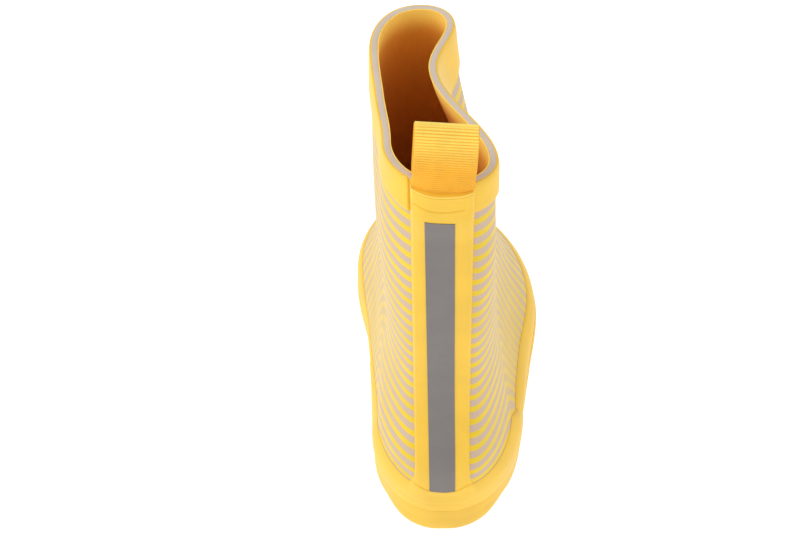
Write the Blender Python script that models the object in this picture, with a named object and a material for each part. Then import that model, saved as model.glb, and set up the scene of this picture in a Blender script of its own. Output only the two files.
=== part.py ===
"""Child's rubber boot, right foot, standing empty with its collar pressed in on the outer side.

Sizes are in millimetres and are turned to metres when a mesh is written. +Y runs from heel to toe,
+X is the outer side of a right boot, +Z is up. Every curved piece is laid off one skin function.
"""
import math
from collections import namedtuple

import bmesh
import bpy
from mathutils import Vector

for item in list(bpy.data.objects):
    bpy.data.objects.remove(item, do_unlink=True)

# Driving sizes
MILLIMETRE = 0.001
WALL = 2.2
GAP = 0.25
AROUND = 48
RINGS = 30

SOLE_LIP = 3.3
SOLE_ROUND = 3.0
BAR_RELIEF = 2.5
BAR_DRAFT = 0.8
ARCH_LIFT = 3.5
SPRING_START = 136.0
SPRING_END = 175.0
SPRING_LIFT = 6.0
SOLE_STATIONS = 36
EDGE_POINTS = 120
END_TRIM = 0.2
WIDEN_FROM = 50.0
WIDEN_OVER = 60.0

INSOLE_THICK = 4.0
INSOLE_MARGIN = 1.5
INSOLE_SIDE = 2.8
INSOLE_CROWN = 0.93
INSOLE_STATIONS = 34

STEP_OUTER = 42.0
STEP_INNER = 72.0

BAND_BOTTOM = 167.0
BAND_THICK = 0.9

STRIP_BOTTOM = 23.2
STRIP_TOP = 178.2
STRIP_HALF = 10.4
STRIP_THICK = 1.1
STRIP_RISE_FROM = 152.0
STRIP_RISE_TO = 168.0
STRIP_SHIFT_LOW = -0.1
STRIP_SHIFT_HIGH = -2.9
STRIP_ROWS = 34

WEB_WIDTH = 20.0
WEB_THICK = 1.0
WEB_SHIFT = -3.0
WEB_LEAN = 1.0
WEB_TURN = 0.09
WEB_TOP = 202.0
WEB_STRAIGHT_FROM = 179.0
WEB_STRAIGHT_OVER = 14.0
WEB_SET_IN = 1.0
WEB_COLUMNS = 4
WEB_STEPS = 36

# Horizontal sections from the feather line up to the collar. z, y and x of the back and of the front,
# leg (0 foot stations, 1 leg stations), depth of the back curve on each side, how blunt the back is,
# then half widths at heel, waist and ball on the outer and the inner side.
Section = namedtuple("Section", "z_back y_back x_back z_front y_front x_front leg tip_out tip_in blunt "
                                "heel_out heel_in waist_out waist_in ball_out ball_in")
SECTIONS = [
    Section(9.3, 1.9, 0.2, 13.5, 168.4, -6.5, 0.00, 42.0, 33.0, 0.3, 30.4, 24.6, 35.8, 25.8, 40.0, 32.2),
    Section(17.0, 1.5, 0.6, 22.0, 168.6, -6.5, 0.00, 44.0, 35.0, 1.4, 30.4, 25.2, 33.4, 28.8, 38.4, 32.8),
    Section(26.0, 1.0, 1.2, 31.0, 164.8, -6.5, 0.05, 41.0, 39.0, 3.2, 27.3, 25.2, 29.6, 27.7, 34.2, 30.8),
    Section(35.0, 1.1, 1.7, 39.0, 157.2, -6.2, 0.12, 41.5, 40.2, 4.8, 25.2, 24.8, 26.7, 25.8, 30.3, 28.4),
    Section(47.0, 3.8, 1.8, 46.5, 147.6, -5.8, 0.25, 45.0, 43.0, 6.2, 23.6, 23.8, 24.4, 25.0, 26.8, 26.4),
    Section(59.0, 6.5, 1.1, 55.0, 135.8, -5.4, 0.45, 46.4, 44.8, 7.2, 22.5, 23.0, 22.5, 24.2, 24.2, 25.0),
    Section(71.0, 7.4, 0.3, 65.5, 123.8, -5.2, 0.65, 45.0, 46.0, 8.0, 21.1, 22.0, 20.9, 23.1, 21.9, 23.8),
    Section(84.0, 7.2, -0.1, 78.0, 113.0, -5.2, 0.82, 41.2, 45.8, 8.0, 19.9, 21.8, 19.7, 23.0, 20.2, 23.8),
    Section(99.0, 5.4, -0.1, 95.0, 105.0, -5.6, 0.93, 34.8, 43.9, 7.2, 18.6, 22.5, 19.2, 23.7, 18.4, 24.6),
    Section(116.0, 3.6, 0.2, 114.0, 100.0, -6.2, 1.00, 27.1, 40.4, 6.0, 17.5, 23.4, 18.6, 24.6, 16.0, 25.4),
    Section(136.0, 1.9, 0.3, 135.0, 97.0, -7.2, 1.00, 19.6, 35.8, 4.8, 16.5, 23.6, 16.3, 24.9, 12.4, 25.8),
    Section(158.0, 0.1, -0.3, 157.5, 95.2, -8.0, 1.00, 15.0, 29.0, 2.4, 15.3, 22.8, 11.2, 24.7, 9.8, 26.0),
    Section(179.5, -1.9, -1.2, 179.5, 94.2, -8.6, 1.00, 13.4, 22.6, 0.4, 14.5, 21.6, 4.8, 23.9, 8.7, 26.0),
]
# Share of a section's length at outer waist, inner waist, outer ball and inner ball
FOOT_STATIONS = (0.45, 0.51, 0.645, 0.755)
LEG_STATIONS = (0.46, 0.46, 0.76, 0.76)
HEEL_SHARE = 0.36
TOE_SHARE = 0.66
# How pointed the front is: outer and inner side of the toe, and the collar
TOE_POINTS = (1.15, 1.2)
COLLAR_POINT = 0.9
BLUNT_POWER = 4

# Folds pressed into the outer wall: height and reach of the fold, place and reach along the foot, depth
Fold = namedtuple("Fold", "z_mid z_reach y_mid y_reach depth")
FOLDS = [
    Fold(186.0, 44.0, 63.8, 21.1, 12.4),
]

# Width of the sole against its feather line at heel and toe: at its top, at its widest and at the floor
SoleWidth = namedtuple("SoleWidth", "top wide floor")
HEEL_WIDTH = SoleWidth(0.985, 0.95, 0.90)
TOE_WIDTH = SoleWidth(0.985, 1.0, 0.94)

# Bars of the tread, heel to toe; the arch lies between the fourth and the fifth
Bar = namedtuple("Bar", "start end")
BARS = [
    Bar(-5.0, 13.0),
    Bar(17.0, 28.0),
    Bar(32.0, 43.0),
    Bar(47.0, 58.0),
    Bar(82.0, 91.0),
    Bar(95.0, 104.0),
    Bar(108.0, 117.0),
    Bar(121.0, 130.0),
    Bar(134.0, 142.0),
    Bar(146.0, 154.0),
    Bar(158.0, 165.0),
    Bar(169.0, 190.0),
]

# Bands lying on the skin: height above the feather line and thickness there
BandRow = namedtuple("BandRow", "height thick")
FOXING_ROWS = [BandRow(0.0, 2.0), BandRow(4.2, 2.1), BandRow(7.8, 1.5)]
COUNTER_ROWS = [BandRow(0.0, 2.2), BandRow(4.4, 2.4), BandRow(9.4, 2.3), BandRow(13.5, 1.7)]

# Path of the webbing: distance from the skin, outward positive, and height
WebRow = namedtuple("WebRow", "out height")
WEB_PATH = [
    WebRow(1.9, 168.6),
    WebRow(1.9, 174.0),
    WebRow(1.9, 180.0),
    WebRow(2.9, 185.5),
    WebRow(3.5, 191.0),
    WebRow(3.0, 196.5),
    WebRow(1.4, 200.2),
    WebRow(-1.0, WEB_TOP - WEB_THICK / 2),
    WebRow(-3.6, 200.2),
    WebRow(-5.2, 196.5),
    WebRow(-5.7, 191.0),
    WebRow(-4.7, 185.5),
    WebRow(-3.1, 180.0),
    WebRow(-3.1, 173.0),
    WebRow(-3.1, 163.0),
]


def cubic(rows, place):
    """Smooth value at a place along a list of number rows."""
    last = len(rows) - 1
    i = int(min(max(place, 0.0), last - 1e-9))
    t = min(max(place, 0.0), last) - i
    before = rows[max(i - 1, 0)]
    here = rows[i]
    after = rows[i + 1]
    beyond = rows[min(i + 2, last)]
    value = []
    for p0, p1, p2, p3 in zip(before, here, after, beyond):
        m1 = (p2 - p0) / 2 if i > 0 else p2 - p1
        m2 = (p3 - p1) / 2 if i + 2 <= last else p2 - p1
        value.append((2 * t ** 3 - 3 * t ** 2 + 1) * p1 + (t ** 3 - 2 * t ** 2 + t) * m1
                     + (3 * t ** 2 - 2 * t ** 3) * p2 + (t ** 3 - t ** 2) * m2)
    return value


def bend(t, a, b, slope_a, slope_b):
    return ((2 * t ** 3 - 3 * t ** 2 + 1) * a + (t ** 3 - 2 * t ** 2 + t) * slope_a
            + (3 * t ** 2 - 2 * t ** 3) * b + (t ** 3 - t ** 2) * slope_b)


def ease(t):
    t = min(max(t, 0.0), 1.0)
    return t * t * (3 - 2 * t)


def section_at(level):
    """Section at a level, 0 at the feather line and 1 at the collar."""
    return Section(*cubic(SECTIONS, level * (len(SECTIONS) - 1)))


def outline(row, side, share):
    """Point of a section. Side +1 is the outer half, -1 the inner; share runs 0 at the back to 1 in front."""
    length = row.y_front - row.y_back
    stations = [a + (b - a) * row.leg for a, b in zip(FOOT_STATIONS, LEG_STATIONS)]
    if side > 0:
        tip, heel, waist, ball = row.tip_out, row.heel_out, row.waist_out, row.ball_out
        waist_y, ball_y = stations[0] * length, stations[2] * length
        toe_point = TOE_POINTS[0]
    else:
        tip, heel, waist, ball = row.tip_in, -row.heel_in, -row.waist_in, -row.ball_in
        waist_y, ball_y = stations[1] * length, stations[3] * length
        toe_point = TOE_POINTS[1]
    heel_y = tip - row.blunt
    if share <= HEEL_SHARE:
        turn = share / HEEL_SHARE * math.pi / 2
        run = tip * (1 - math.cos(turn))
        y = (run ** BLUNT_POWER + row.blunt ** BLUNT_POWER) ** (1 / BLUNT_POWER) - row.blunt
        x = row.x_back + (heel - row.x_back) * math.sin(turn)
    elif share >= TOE_SHARE:
        turn = (1 - share) / (1 - TOE_SHARE) * math.pi / 2
        y = ball_y + (length - ball_y) * math.cos(turn)
        point = toe_point + (COLLAR_POINT - toe_point) * row.leg
        x = row.x_front + (ball - row.x_front) * math.sin(turn) ** point
    else:
        y = heel_y + (ball_y - heel_y) * (share - HEEL_SHARE) / (TOE_SHARE - HEEL_SHARE)
        slope = (ball - heel) / (ball_y - heel_y)
        if y < waist_y:
            span = waist_y - heel_y
            x = bend((y - heel_y) / span, heel, waist, 0.0, slope * span)
        else:
            span = ball_y - waist_y
            x = bend((y - waist_y) / span, waist, ball, slope * span, 0.0)
    lift = max(y / length, 0.0) ** (3 - 2 * row.leg)
    return x, y + row.y_back, row.z_back + (row.z_front - row.z_back) * lift


def skin(level, around):
    """Outer face of the upper. Around runs 0 at the back, over the outer side to 0.5 in front, back to 1."""
    around = around % 1.0
    side = 1 if around <= 0.5 else -1
    share = 2 * around if side > 0 else 2 * (1 - around)
    x, y, z = outline(section_at(level), side, share)
    if side > 0:
        for fold in FOLDS:
            down = min((z - fold.z_mid) / fold.z_reach, 0.0)
            along = (y - fold.y_mid) / fold.y_reach
            x -= fold.depth * math.exp(-down * down - along * along) * math.sqrt(math.sin(math.pi * share))
    return Vector((x, y, z))


def skin_normal(level, around):
    step = 0.004
    low, high = max(level - step, 0.0), min(level + step, 1.0)
    across = skin(level, around + step) - skin(level, around - step)
    upward = skin(high, around) - skin(low, around)
    return across.cross(upward).normalized()


def off_skin(level, around, distance):
    """Point off the skin; at the feather line and at the collar it stays level."""
    normal = skin_normal(level, around)
    if level <= 0.0 or level >= 1.0:
        normal.z = 0.0
        normal.normalize()
    return skin(level, around) + normal * distance


def level_at(around, height):
    low, high = 0.0, 1.0
    for _ in range(40):
        middle = (low + high) / 2
        if skin(middle, around).z < height:
            low = middle
        else:
            high = middle
    return 1.0 if high > 0.99999 else low


def around_at_y(side, y):
    low, high = 0.0, 1.0
    for _ in range(40):
        middle = (low + high) / 2
        if outline(SECTIONS[0], side, middle)[1] < y:
            low = middle
        else:
            high = middle
    return low / 2 if side > 0 else 1 - low / 2


def around_at_x(level, x):
    """Place round the back of a section for a given x."""
    row = section_at(level)
    half = row.heel_out - row.x_back if x >= row.x_back else row.heel_in + row.x_back
    turn = math.asin(min(abs(x - row.x_back) / half, 1.0))
    share = turn / (math.pi / 2) * HEEL_SHARE
    return share / 2 if x >= row.x_back else -share / 2


def tube(sections, loop=False):
    """Skin a run of closed sections; a loop joins its last section to its first, others get end faces."""
    count = len(sections[0])
    points = [p for section in sections for p in section]
    faces = []
    spans = len(sections) if loop else len(sections) - 1
    for i in range(spans):
        a = i * count
        b = (i + 1) % len(sections) * count
        for j in range(count):
            k = (j + 1) % count
            faces.append((a + j, a + k, b + k, b + j))
    if not loop:
        faces.append(tuple(range(count)))
        faces.append(tuple(range((len(sections) - 1) * count, len(sections) * count)))
    return points, faces


def make_upper():
    levels = [i / RINGS for i in range(RINGS + 1)]
    sections = []
    for j in range(AROUND):
        around = j / AROUND
        outer = [off_skin(level, around, 0.0) for level in levels]
        inner = [off_skin(level, around, -WALL) for level in reversed(levels)]
        sections.append(outer + inner)
    return tube(sections, loop=True)


def band_section(around, rows):
    feather = skin(0.0, around).z
    inner = []
    outer = []
    for row in rows:
        level = level_at(around, feather + row.height) if row.height > 0 else 0.0
        inner.append(off_skin(level, around, GAP))
        outer.append(off_skin(level, around, GAP + row.thick))
    return inner + outer[::-1]


def stations_between(start, end):
    inside = [j / AROUND for j in range(-AROUND, 2 * AROUND) if start + 0.004 < j / AROUND < end - 0.004]
    return [start] + inside + [end]


def make_foxing():
    start = around_at_y(1, STEP_OUTER + GAP)
    end = around_at_y(-1, STEP_INNER + GAP)
    return tube([band_section(a, FOXING_ROWS) for a in stations_between(start, end)])


def make_counter():
    start = around_at_y(-1, STEP_INNER) - 1.0
    end = around_at_y(1, STEP_OUTER)
    return tube([band_section(a, COUNTER_ROWS) for a in stations_between(start, end)])


def make_band():
    sections = []
    for j in range(AROUND):
        around = j / AROUND
        low = level_at(around, BAND_BOTTOM)
        levels = [low, low + (1 - low) / 3, low + (1 - low) * 2 / 3, 1.0]
        inner = [off_skin(level, around, GAP) for level in levels]
        outer = [off_skin(level, around, GAP + BAND_THICK) for level in reversed(levels)]
        sections.append(inner + outer)
    return tube(sections, loop=True)


def strip_centre(height):
    share = (height - STRIP_BOTTOM) / (STRIP_TOP - STRIP_BOTTOM)
    return STRIP_SHIFT_LOW + (STRIP_SHIFT_HIGH - STRIP_SHIFT_LOW) * share


def strip_stand(height):
    """Distance of the strip's inner face from the skin: it climbs over the band and the webbing."""
    rise = BAND_THICK + WEB_THICK + 2 * GAP
    return GAP + rise * ease((height - STRIP_RISE_FROM) / (STRIP_RISE_TO - STRIP_RISE_FROM))


def back_point(height, x, distance):
    """Point at the back, a distance off the skin, that ends up at the given x."""
    level = level_at(0.0, height)
    foot = x
    for _ in range(6):
        point = off_skin(level, around_at_x(level, foot), distance)
        foot += (x - point.x) * 0.8
    return point


def make_strip():
    spread = (-1.0, -0.93, -0.6, -0.3, 0.0, 0.3, 0.6, 0.93, 1.0)
    depth = (0.5, 1.0, 1.0, 1.0, 1.0, 1.0, 1.0, 1.0, 0.5)
    sections = []
    for i in range(STRIP_ROWS + 1):
        height = STRIP_BOTTOM + (STRIP_TOP - STRIP_BOTTOM) * i / STRIP_ROWS
        stand = strip_stand(height)
        xs = [strip_centre(height) + STRIP_HALF * s for s in spread]
        inner = [back_point(height, x, stand) for x in xs]
        outer = [back_point(height, x, stand + STRIP_THICK * d) for x, d in zip(xs, depth)]
        sections.append(inner + outer[::-1])
    return tube(sections)


def make_loop():
    """Webbing bent over the rim: it follows the back's curve at the rim and is straight across at the top."""
    last = len(WEB_PATH) - 1
    path = [cubic(WEB_PATH, last * i / WEB_STEPS) for i in range(WEB_STEPS + 1)]
    centre = skin(1.0, around_at_x(1.0, WEB_SHIFT))
    sections = []
    for i, (out, height) in enumerate(path):
        ahead = path[min(i + 1, WEB_STEPS)]
        behind = path[max(i - 1, 0)]
        run = Vector((ahead[0] - behind[0], ahead[1] - behind[1])).normalized()
        square = Vector((run.y, -run.x)) * WEB_THICK / 2
        straight = ease((height - WEB_STRAIGHT_FROM) / WEB_STRAIGHT_OVER)
        ring = []
        for sign in (1, -1):
            for step in range(-WEB_COLUMNS, WEB_COLUMNS + 1)[::sign]:
                x = WEB_SHIFT + step / WEB_COLUMNS * WEB_WIDTH / 2
                away = out + square.x * sign
                z = height + square.y * sign
                curved = back_point(min(z, SECTIONS[-1].z_back), x, away)
                flat_y = centre.y + WEB_SET_IN - (x - WEB_SHIFT) * WEB_TURN - away
                ring.append(Vector((curved.x + (x + WEB_LEAN - curved.x) * straight,
                                    curved.y + (flat_y - curved.y) * straight, z)))
        sections.append(ring)
    return tube(sections)


def feather_height(y):
    row = SECTIONS[0]
    t = max((y - row.y_back) / (row.y_front - row.y_back), 0.0)
    return row.z_back + (row.z_front - row.z_back) * t ** 3


def sole_edges(distance):
    """Outer and inner edge of the feather line moved out by a distance, as lists of (y, x)."""
    edges = []
    for side in (1, -1):
        edge = []
        for i in range(EDGE_POINTS + 1):
            turn = i / EDGE_POINTS / 2
            around = turn if side > 0 else 1 - turn
            p = off_skin(0.0, around, distance)
            edge.append((p.y, p.x))
        edges.append(sorted(edge))
    return edges


def edge_x(edge, y):
    for (y0, x0), (y1, x1) in zip(edge, edge[1:]):
        if y0 <= y <= y1:
            return x0 + (x1 - x0) * (y - y0) / max(y1 - y0, 1e-9)
    return edge[0][1] if y < edge[0][0] else edge[-1][1]


def end_stations(start, end, count):
    """Places from start to end that crowd together at both ends."""
    return [start + (end - start) * (1 - math.cos(math.pi * i / count)) / 2 for i in range(count + 1)]


def sole_floor(y):
    return SPRING_LIFT * (max(y - SPRING_START, 0.0) / (SPRING_END - SPRING_START)) ** 2


def tread_stations(start, end):
    """Places along the sole and the height of its underside: bars on the floor, grooves above it."""
    rows = {}
    for index, bar in enumerate(BARS):
        first = max(bar.start, start)
        final = min(bar.end, end)
        before = ARCH_LIFT if index == 4 else BAR_RELIEF
        after = ARCH_LIFT if index == 3 else BAR_RELIEF
        if bar.start > start:
            rows[first] = sole_floor(first) + before
            first += BAR_DRAFT
        if bar.end < end:
            rows[final] = sole_floor(final) + after
            final -= BAR_DRAFT
        for i in range(5):
            y = first + (final - first) * i / 4
            rows[y] = sole_floor(y)
    for y in end_stations(start, end, SOLE_STATIONS):
        if (y < BARS[0].end - 1 or y > BARS[-1].start + 1) and min(abs(y - other) for other in rows) > 0.12:
            rows[y] = sole_floor(y)
    return sorted(rows.items())


def make_outsole():
    outer, inner = sole_edges(SOLE_LIP)
    start = max(outer[0][0], inner[0][0]) + END_TRIM
    end = min(outer[-1][0], inner[-1][0]) - END_TRIM
    sections = []
    for y, floor in tread_stations(start, end):
        top = feather_height(y) - GAP
        right = edge_x(outer, y)
        left = edge_x(inner, y)
        middle = (left + right) / 2
        forward = ease((y - WIDEN_FROM) / WIDEN_OVER)
        width = SoleWidth(*[a + (b - a) * forward for a, b in zip(HEEL_WIDTH, TOE_WIDTH)])
        wide_z = top - SOLE_ROUND
        sections.append([
            Vector((middle + (left - middle) * width.top, y, top)),
            Vector((middle + (left - middle) * width.wide, y, wide_z)),
            Vector((middle + (left - middle) * width.floor, y, floor)),
            Vector((middle + (right - middle) * width.floor, y, floor)),
            Vector((middle + (right - middle) * width.wide, y, wide_z)),
            Vector((middle + (right - middle) * width.top, y, top)),
        ])
    return tube(sections)


def make_insole():
    outer, inner = sole_edges(-WALL - INSOLE_MARGIN)
    start = max(outer[0][0], inner[0][0]) + END_TRIM
    end = min(outer[-1][0], inner[-1][0]) - END_TRIM
    sections = []
    for y in end_stations(start, end, INSOLE_STATIONS):
        low = feather_height(y)
        right = edge_x(outer, y)
        left = edge_x(inner, y)
        middle = (left + right) / 2
        sections.append([
            Vector((left, y, low)),
            Vector((right, y, low)),
            Vector((right, y, low + INSOLE_SIDE)),
            Vector((middle + (right - middle) * INSOLE_CROWN, y, low + INSOLE_THICK)),
            Vector((middle + (left - middle) * INSOLE_CROWN, y, low + INSOLE_THICK)),
            Vector((left, y, low + INSOLE_SIDE)),
        ])
    return tube(sections)


def material(name, colour, rough):
    made = bpy.data.materials.new(name)
    made.use_nodes = True
    shader = made.node_tree.nodes["Principled BSDF"]
    shader.inputs["Base Color"].default_value = (*colour, 1.0)
    shader.inputs["Roughness"].default_value = rough
    return made


MATERIALS = {
    "printed_rubber": material("printed_rubber", (0.75, 0.60, 0.24), 0.50),
    "plain_rubber": material("plain_rubber", (0.90, 0.60, 0.10), 0.45),
    "sole_rubber": material("sole_rubber", (0.87, 0.56, 0.09), 0.55),
    "footbed": material("footbed", (0.55, 0.42, 0.25), 0.90),
    "webbing": material("webbing", (0.92, 0.52, 0.07), 0.80),
}

PIECES = [
    ("outsole", make_outsole, "sole_rubber"),
    ("insole", make_insole, "footbed"),
    ("upper", make_upper, "printed_rubber"),
    ("foxing", make_foxing, "plain_rubber"),
    ("heel_counter", make_counter, "plain_rubber"),
    ("collar_band", make_band, "plain_rubber"),
    ("back_strip", make_strip, "plain_rubber"),
    ("pull_loop", make_loop, "webbing"),
]

parts = bpy.data.collections.new("rubber_boot")
bpy.context.scene.collection.children.link(parts)

built = [(name, slot, *maker()) for name, maker, slot in PIECES]
every = [p for piece in built for p in piece[2]]
shift = Vector((
    (min(p.x for p in every) + max(p.x for p in every)) / 2,
    (min(p.y for p in every) + max(p.y for p in every)) / 2,
    min(p.z for p in every),
))

for name, slot, points, faces in built:
    mesh = bpy.data.meshes.new(name)
    mesh.from_pydata([(p - shift) * MILLIMETRE for p in points], [], faces)
    form = bmesh.new()
    form.from_mesh(mesh)
    bmesh.ops.recalc_face_normals(form, faces=form.faces)
    form.to_mesh(mesh)
    form.free()
    mesh.materials.append(MATERIALS[slot])
    piece = bpy.data.objects.new(name, mesh)
    parts.objects.link(piece)
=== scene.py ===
"""Finish of a child's rubber boot for the right foot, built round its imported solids.

Lengths in the tables are millimetres in the boot's own frame: +Y from heel to toe, +X the outer side,
+Z up from the floor. Meshes are written in metres in the frame of the solids.
"""
import math
from collections import namedtuple

import bmesh
import bpy
import numpy as np
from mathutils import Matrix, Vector


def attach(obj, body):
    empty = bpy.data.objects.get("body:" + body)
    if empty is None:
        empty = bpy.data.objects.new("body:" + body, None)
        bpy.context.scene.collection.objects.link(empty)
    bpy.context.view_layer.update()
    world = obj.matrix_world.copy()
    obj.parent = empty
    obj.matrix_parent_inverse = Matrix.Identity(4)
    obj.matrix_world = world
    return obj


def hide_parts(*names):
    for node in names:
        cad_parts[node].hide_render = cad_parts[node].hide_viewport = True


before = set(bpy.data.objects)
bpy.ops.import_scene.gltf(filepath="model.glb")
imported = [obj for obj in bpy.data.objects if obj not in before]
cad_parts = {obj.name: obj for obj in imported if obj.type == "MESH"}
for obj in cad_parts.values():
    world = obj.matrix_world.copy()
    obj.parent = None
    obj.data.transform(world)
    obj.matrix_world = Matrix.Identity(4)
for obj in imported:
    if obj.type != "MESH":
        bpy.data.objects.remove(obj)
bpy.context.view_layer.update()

bl_info = {
    "name": "Rubber boot finish",
    "version": (1, 0, 0),
    "blender": (4, 5, 0),
    "location": "View3D > Sidebar > Boot",
    "description": "Builds the visible pieces, finishes and stage of a child's rubber boot",
    "category": "Add Mesh",
}

MILLIMETRE = 0.001
METRE = 1000.0
# Middle of the boot's plan in its own frame
SHIFT = np.array((3.9, 82.866, 0.0))
# Play between pieces laid on each other
HAIR = 0.05

# Sections of the last from the feather line up to the collar. z, y and x of the back and of the front, leg
# (0 foot stations, 1 leg stations), depth of the back curve on each side, how blunt the back is, then half
# widths at heel, waist and ball on the outer and the inner side.
Section = namedtuple("Section", "z_back y_back x_back z_front y_front x_front leg tip_out tip_in blunt "
                                "heel_out heel_in waist_out waist_in ball_out ball_in")
SECTIONS = [
    Section(9.3, 1.9, 0.2, 13.5, 168.4, -6.5, 0.00, 42.0, 33.0, 0.3, 30.4, 24.6, 35.8, 25.8, 40.0, 32.2),
    Section(17.0, 1.5, 0.6, 22.0, 168.6, -6.5, 0.00, 44.0, 35.0, 1.4, 30.4, 25.2, 33.4, 28.8, 38.4, 32.8),
    Section(26.0, 1.0, 1.2, 31.0, 164.8, -6.5, 0.05, 41.0, 39.0, 3.2, 27.3, 25.2, 29.6, 27.7, 34.2, 30.8),
    Section(35.0, 1.1, 1.7, 39.0, 157.2, -6.2, 0.12, 41.5, 40.2, 4.8, 25.2, 24.8, 26.7, 25.8, 30.3, 28.4),
    Section(47.0, 3.8, 1.8, 46.5, 147.6, -5.8, 0.25, 45.0, 43.0, 6.2, 23.6, 23.8, 24.4, 25.0, 26.8, 26.4),
    Section(59.0, 6.5, 1.1, 55.0, 135.8, -5.4, 0.45, 46.4, 44.8, 7.2, 22.5, 23.0, 22.5, 24.2, 24.2, 25.0),
    Section(71.0, 7.4, 0.3, 65.5, 123.8, -5.2, 0.65, 45.0, 46.0, 8.0, 21.1, 22.0, 20.9, 23.1, 21.9, 23.8),
    Section(84.0, 7.2, -0.1, 78.0, 113.0, -5.2, 0.82, 41.2, 45.8, 8.0, 19.9, 21.8, 19.7, 23.0, 20.2, 23.8),
    Section(99.0, 5.4, -0.1, 95.0, 105.0, -5.6, 0.93, 34.8, 43.9, 7.2, 18.6, 22.5, 19.2, 23.7, 18.4, 24.6),
    Section(116.0, 3.6, 0.2, 114.0, 100.0, -6.2, 1.00, 27.1, 40.4, 6.0, 17.5, 23.4, 18.6, 24.6, 16.0, 25.4),
    Section(136.0, 1.9, 0.3, 135.0, 97.0, -7.2, 1.00, 19.6, 35.8, 4.8, 16.5, 23.6, 16.3, 24.9, 12.4, 25.8),
    Section(158.0, 0.1, -0.3, 157.5, 95.2, -8.0, 1.00, 15.0, 29.0, 2.4, 15.3, 22.8, 11.2, 24.7, 9.8, 26.0),
    Section(179.5, -1.9, -1.2, 179.5, 94.2, -8.6, 1.00, 13.4, 22.6, 0.4, 14.5, 21.6, 4.8, 23.9, 8.7, 26.0),
]
# Share of a section's length at outer waist, inner waist, outer ball and inner ball
FOOT_STATIONS = (0.45, 0.51, 0.645, 0.755)
LEG_STATIONS = (0.46, 0.46, 0.76, 0.76)
HEEL_SHARE = 0.36
TOE_SHARE = 0.66
# How pointed the front is: outer and inner side of the toe, and the collar
TOE_POINTS = (1.15, 1.2)
COLLAR_POINT = 0.9
BLUNT_POWER = 4
COLLAR_TOP = SECTIONS[-1].z_back
# In levels: step used to find the skin's direction, and how near an edge points are moved level
PROBE = 0.004
LEVEL_NEAR = 0.03

# Depth below the rim over which the lining turns to its painted shade colour, darker down in the boot, and
# the strength of the painted glow that lights it near the rim
LINING_SHADE_FADE = 11.0
LINING_PAINTED_GLOW = 0.15
# Foot of the lining in levels, how far its edge stands over the rim, and how ragged that edge is
LINING_FOOT = 0.012
LINING_STAND = 0.1
LINING_RAG = 0.7
# Lengths round wall and lining, for their flat positions
WALL_GIRTH = 250.0
LINING_GIRTH = 240.0

# The fold pressed into the outer wall at the collar: height and reach, place and reach along the foot, depth
Fold = namedtuple("Fold", "z_mid z_reach y_mid y_reach depth")
FOLDS = [Fold(186.0, 44.0, 63.8, 21.1, 12.4)]

# Soft creases. Side 1 is the outer wall, -1 the inner, 0 both; place in side view, lean in degrees from the
# floor, reach along and across the crease, and rise (a trough is negative).
Crease = namedtuple("Crease", "side y z lean along across rise")
CREASES = [
    Crease(0, 116.0, 76.0, 24.0, 30.0, 6.5, -0.9),
    Crease(0, 108.0, 88.0, 16.0, 28.0, 6.0, 0.5),
    Crease(0, 104.0, 101.0, 8.0, 26.0, 6.0, -0.6),
    Crease(0, 132.0, 60.0, 35.0, 18.0, 7.0, -0.4),
    Crease(0, 148.0, 31.0, -8.0, 30.0, 7.5, -1.1),
    Crease(1, 54.0, 60.0, -24.0, 24.0, 8.0, -0.6),
    Crease(-1, 52.0, 66.0, -18.0, 26.0, 8.0, -0.6),
    Crease(1, 44.0, 122.0, 72.0, 26.0, 8.0, -0.5),
    Crease(-1, 58.0, 140.0, 80.0, 30.0, 11.0, 0.5),
]
# Half the width of the middle over which a crease of one side fades out
CREASE_FADE = 8.0

# Bands on the skin as outlines: height above the feather line, distance off the skin, rounding of the corner
Corner = namedtuple("Corner", "height out round")
FOXING_OUTLINE = [
    Corner(0.0, -0.3, 0.0),
    Corner(8.1, -0.3, 0.0),
    Corner(8.1, 0.2, 0.0),
    Corner(7.4, 0.75, 0.4),
    Corner(6.0, 1.5, 1.0),
    Corner(4.2, 2.2, 1.0),
    Corner(2.2, 2.45, 1.0),
    Corner(0.0, 2.25, 0.4),
]
COUNTER_OUTLINE = [
    Corner(0.0, -0.3, 0.0),
    Corner(12.0, -0.3, 0.0),
    Corner(12.0, 0.2, 0.0),
    Corner(11.2, 0.8, 0.4),
    Corner(9.7, 1.6, 1.2),
    Corner(7.8, 2.2, 1.2),
    Corner(5.7, 2.42, 0.4),
    Corner(5.2, 2.32, 0.3),
    Corner(4.4, 2.32, 0.3),
    Corner(3.9, 2.48, 0.4),
    Corner(0.0, 2.40, 0.1),
]
# Round the toe the foxing stands taller: share of its height, and where along the foot
FOXING_RISE = 0.3
FOXING_RISE_FROM = 95.0
FOXING_RISE_OVER = 55.0
# Places along the foot where counter and foxing meet
STEP_OUTER = 44.5
STEP_INNER = 72.0
# The counter rises from the back to its sides, then falls to the foxing at both ends: heights against the
# back, distance from the middle by which it has risen, and lengths of the fall
COUNTER_RISE_OUTER = 1.2
COUNTER_RISE_INNER = 1.15
COUNTER_RISE_BY = 13.0
COUNTER_END = 0.65
COUNTER_FALL_OUTER = 6.0
COUNTER_FALL_INNER = 45.0
# Low on the outer side, where counter and foxing meet, they and the sole stand out further: place, reach and
# distance, x over which it sets in, and distance off the skin from which a point takes all of it
SWELL_Y = 54.0
SWELL_REACH = 14.0
SWELL_OUT = 1.1
SWELL_FROM = 20.0
SWELL_FULL = 2.0

# The counter's top edge is laid over the foot of the back strip: play over it, and the distances off the skin
# between which the cover fades
COVER_GAP = 0.1
COVER_LEDGE = 0.2
COVER_FULL = 2.3
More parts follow.
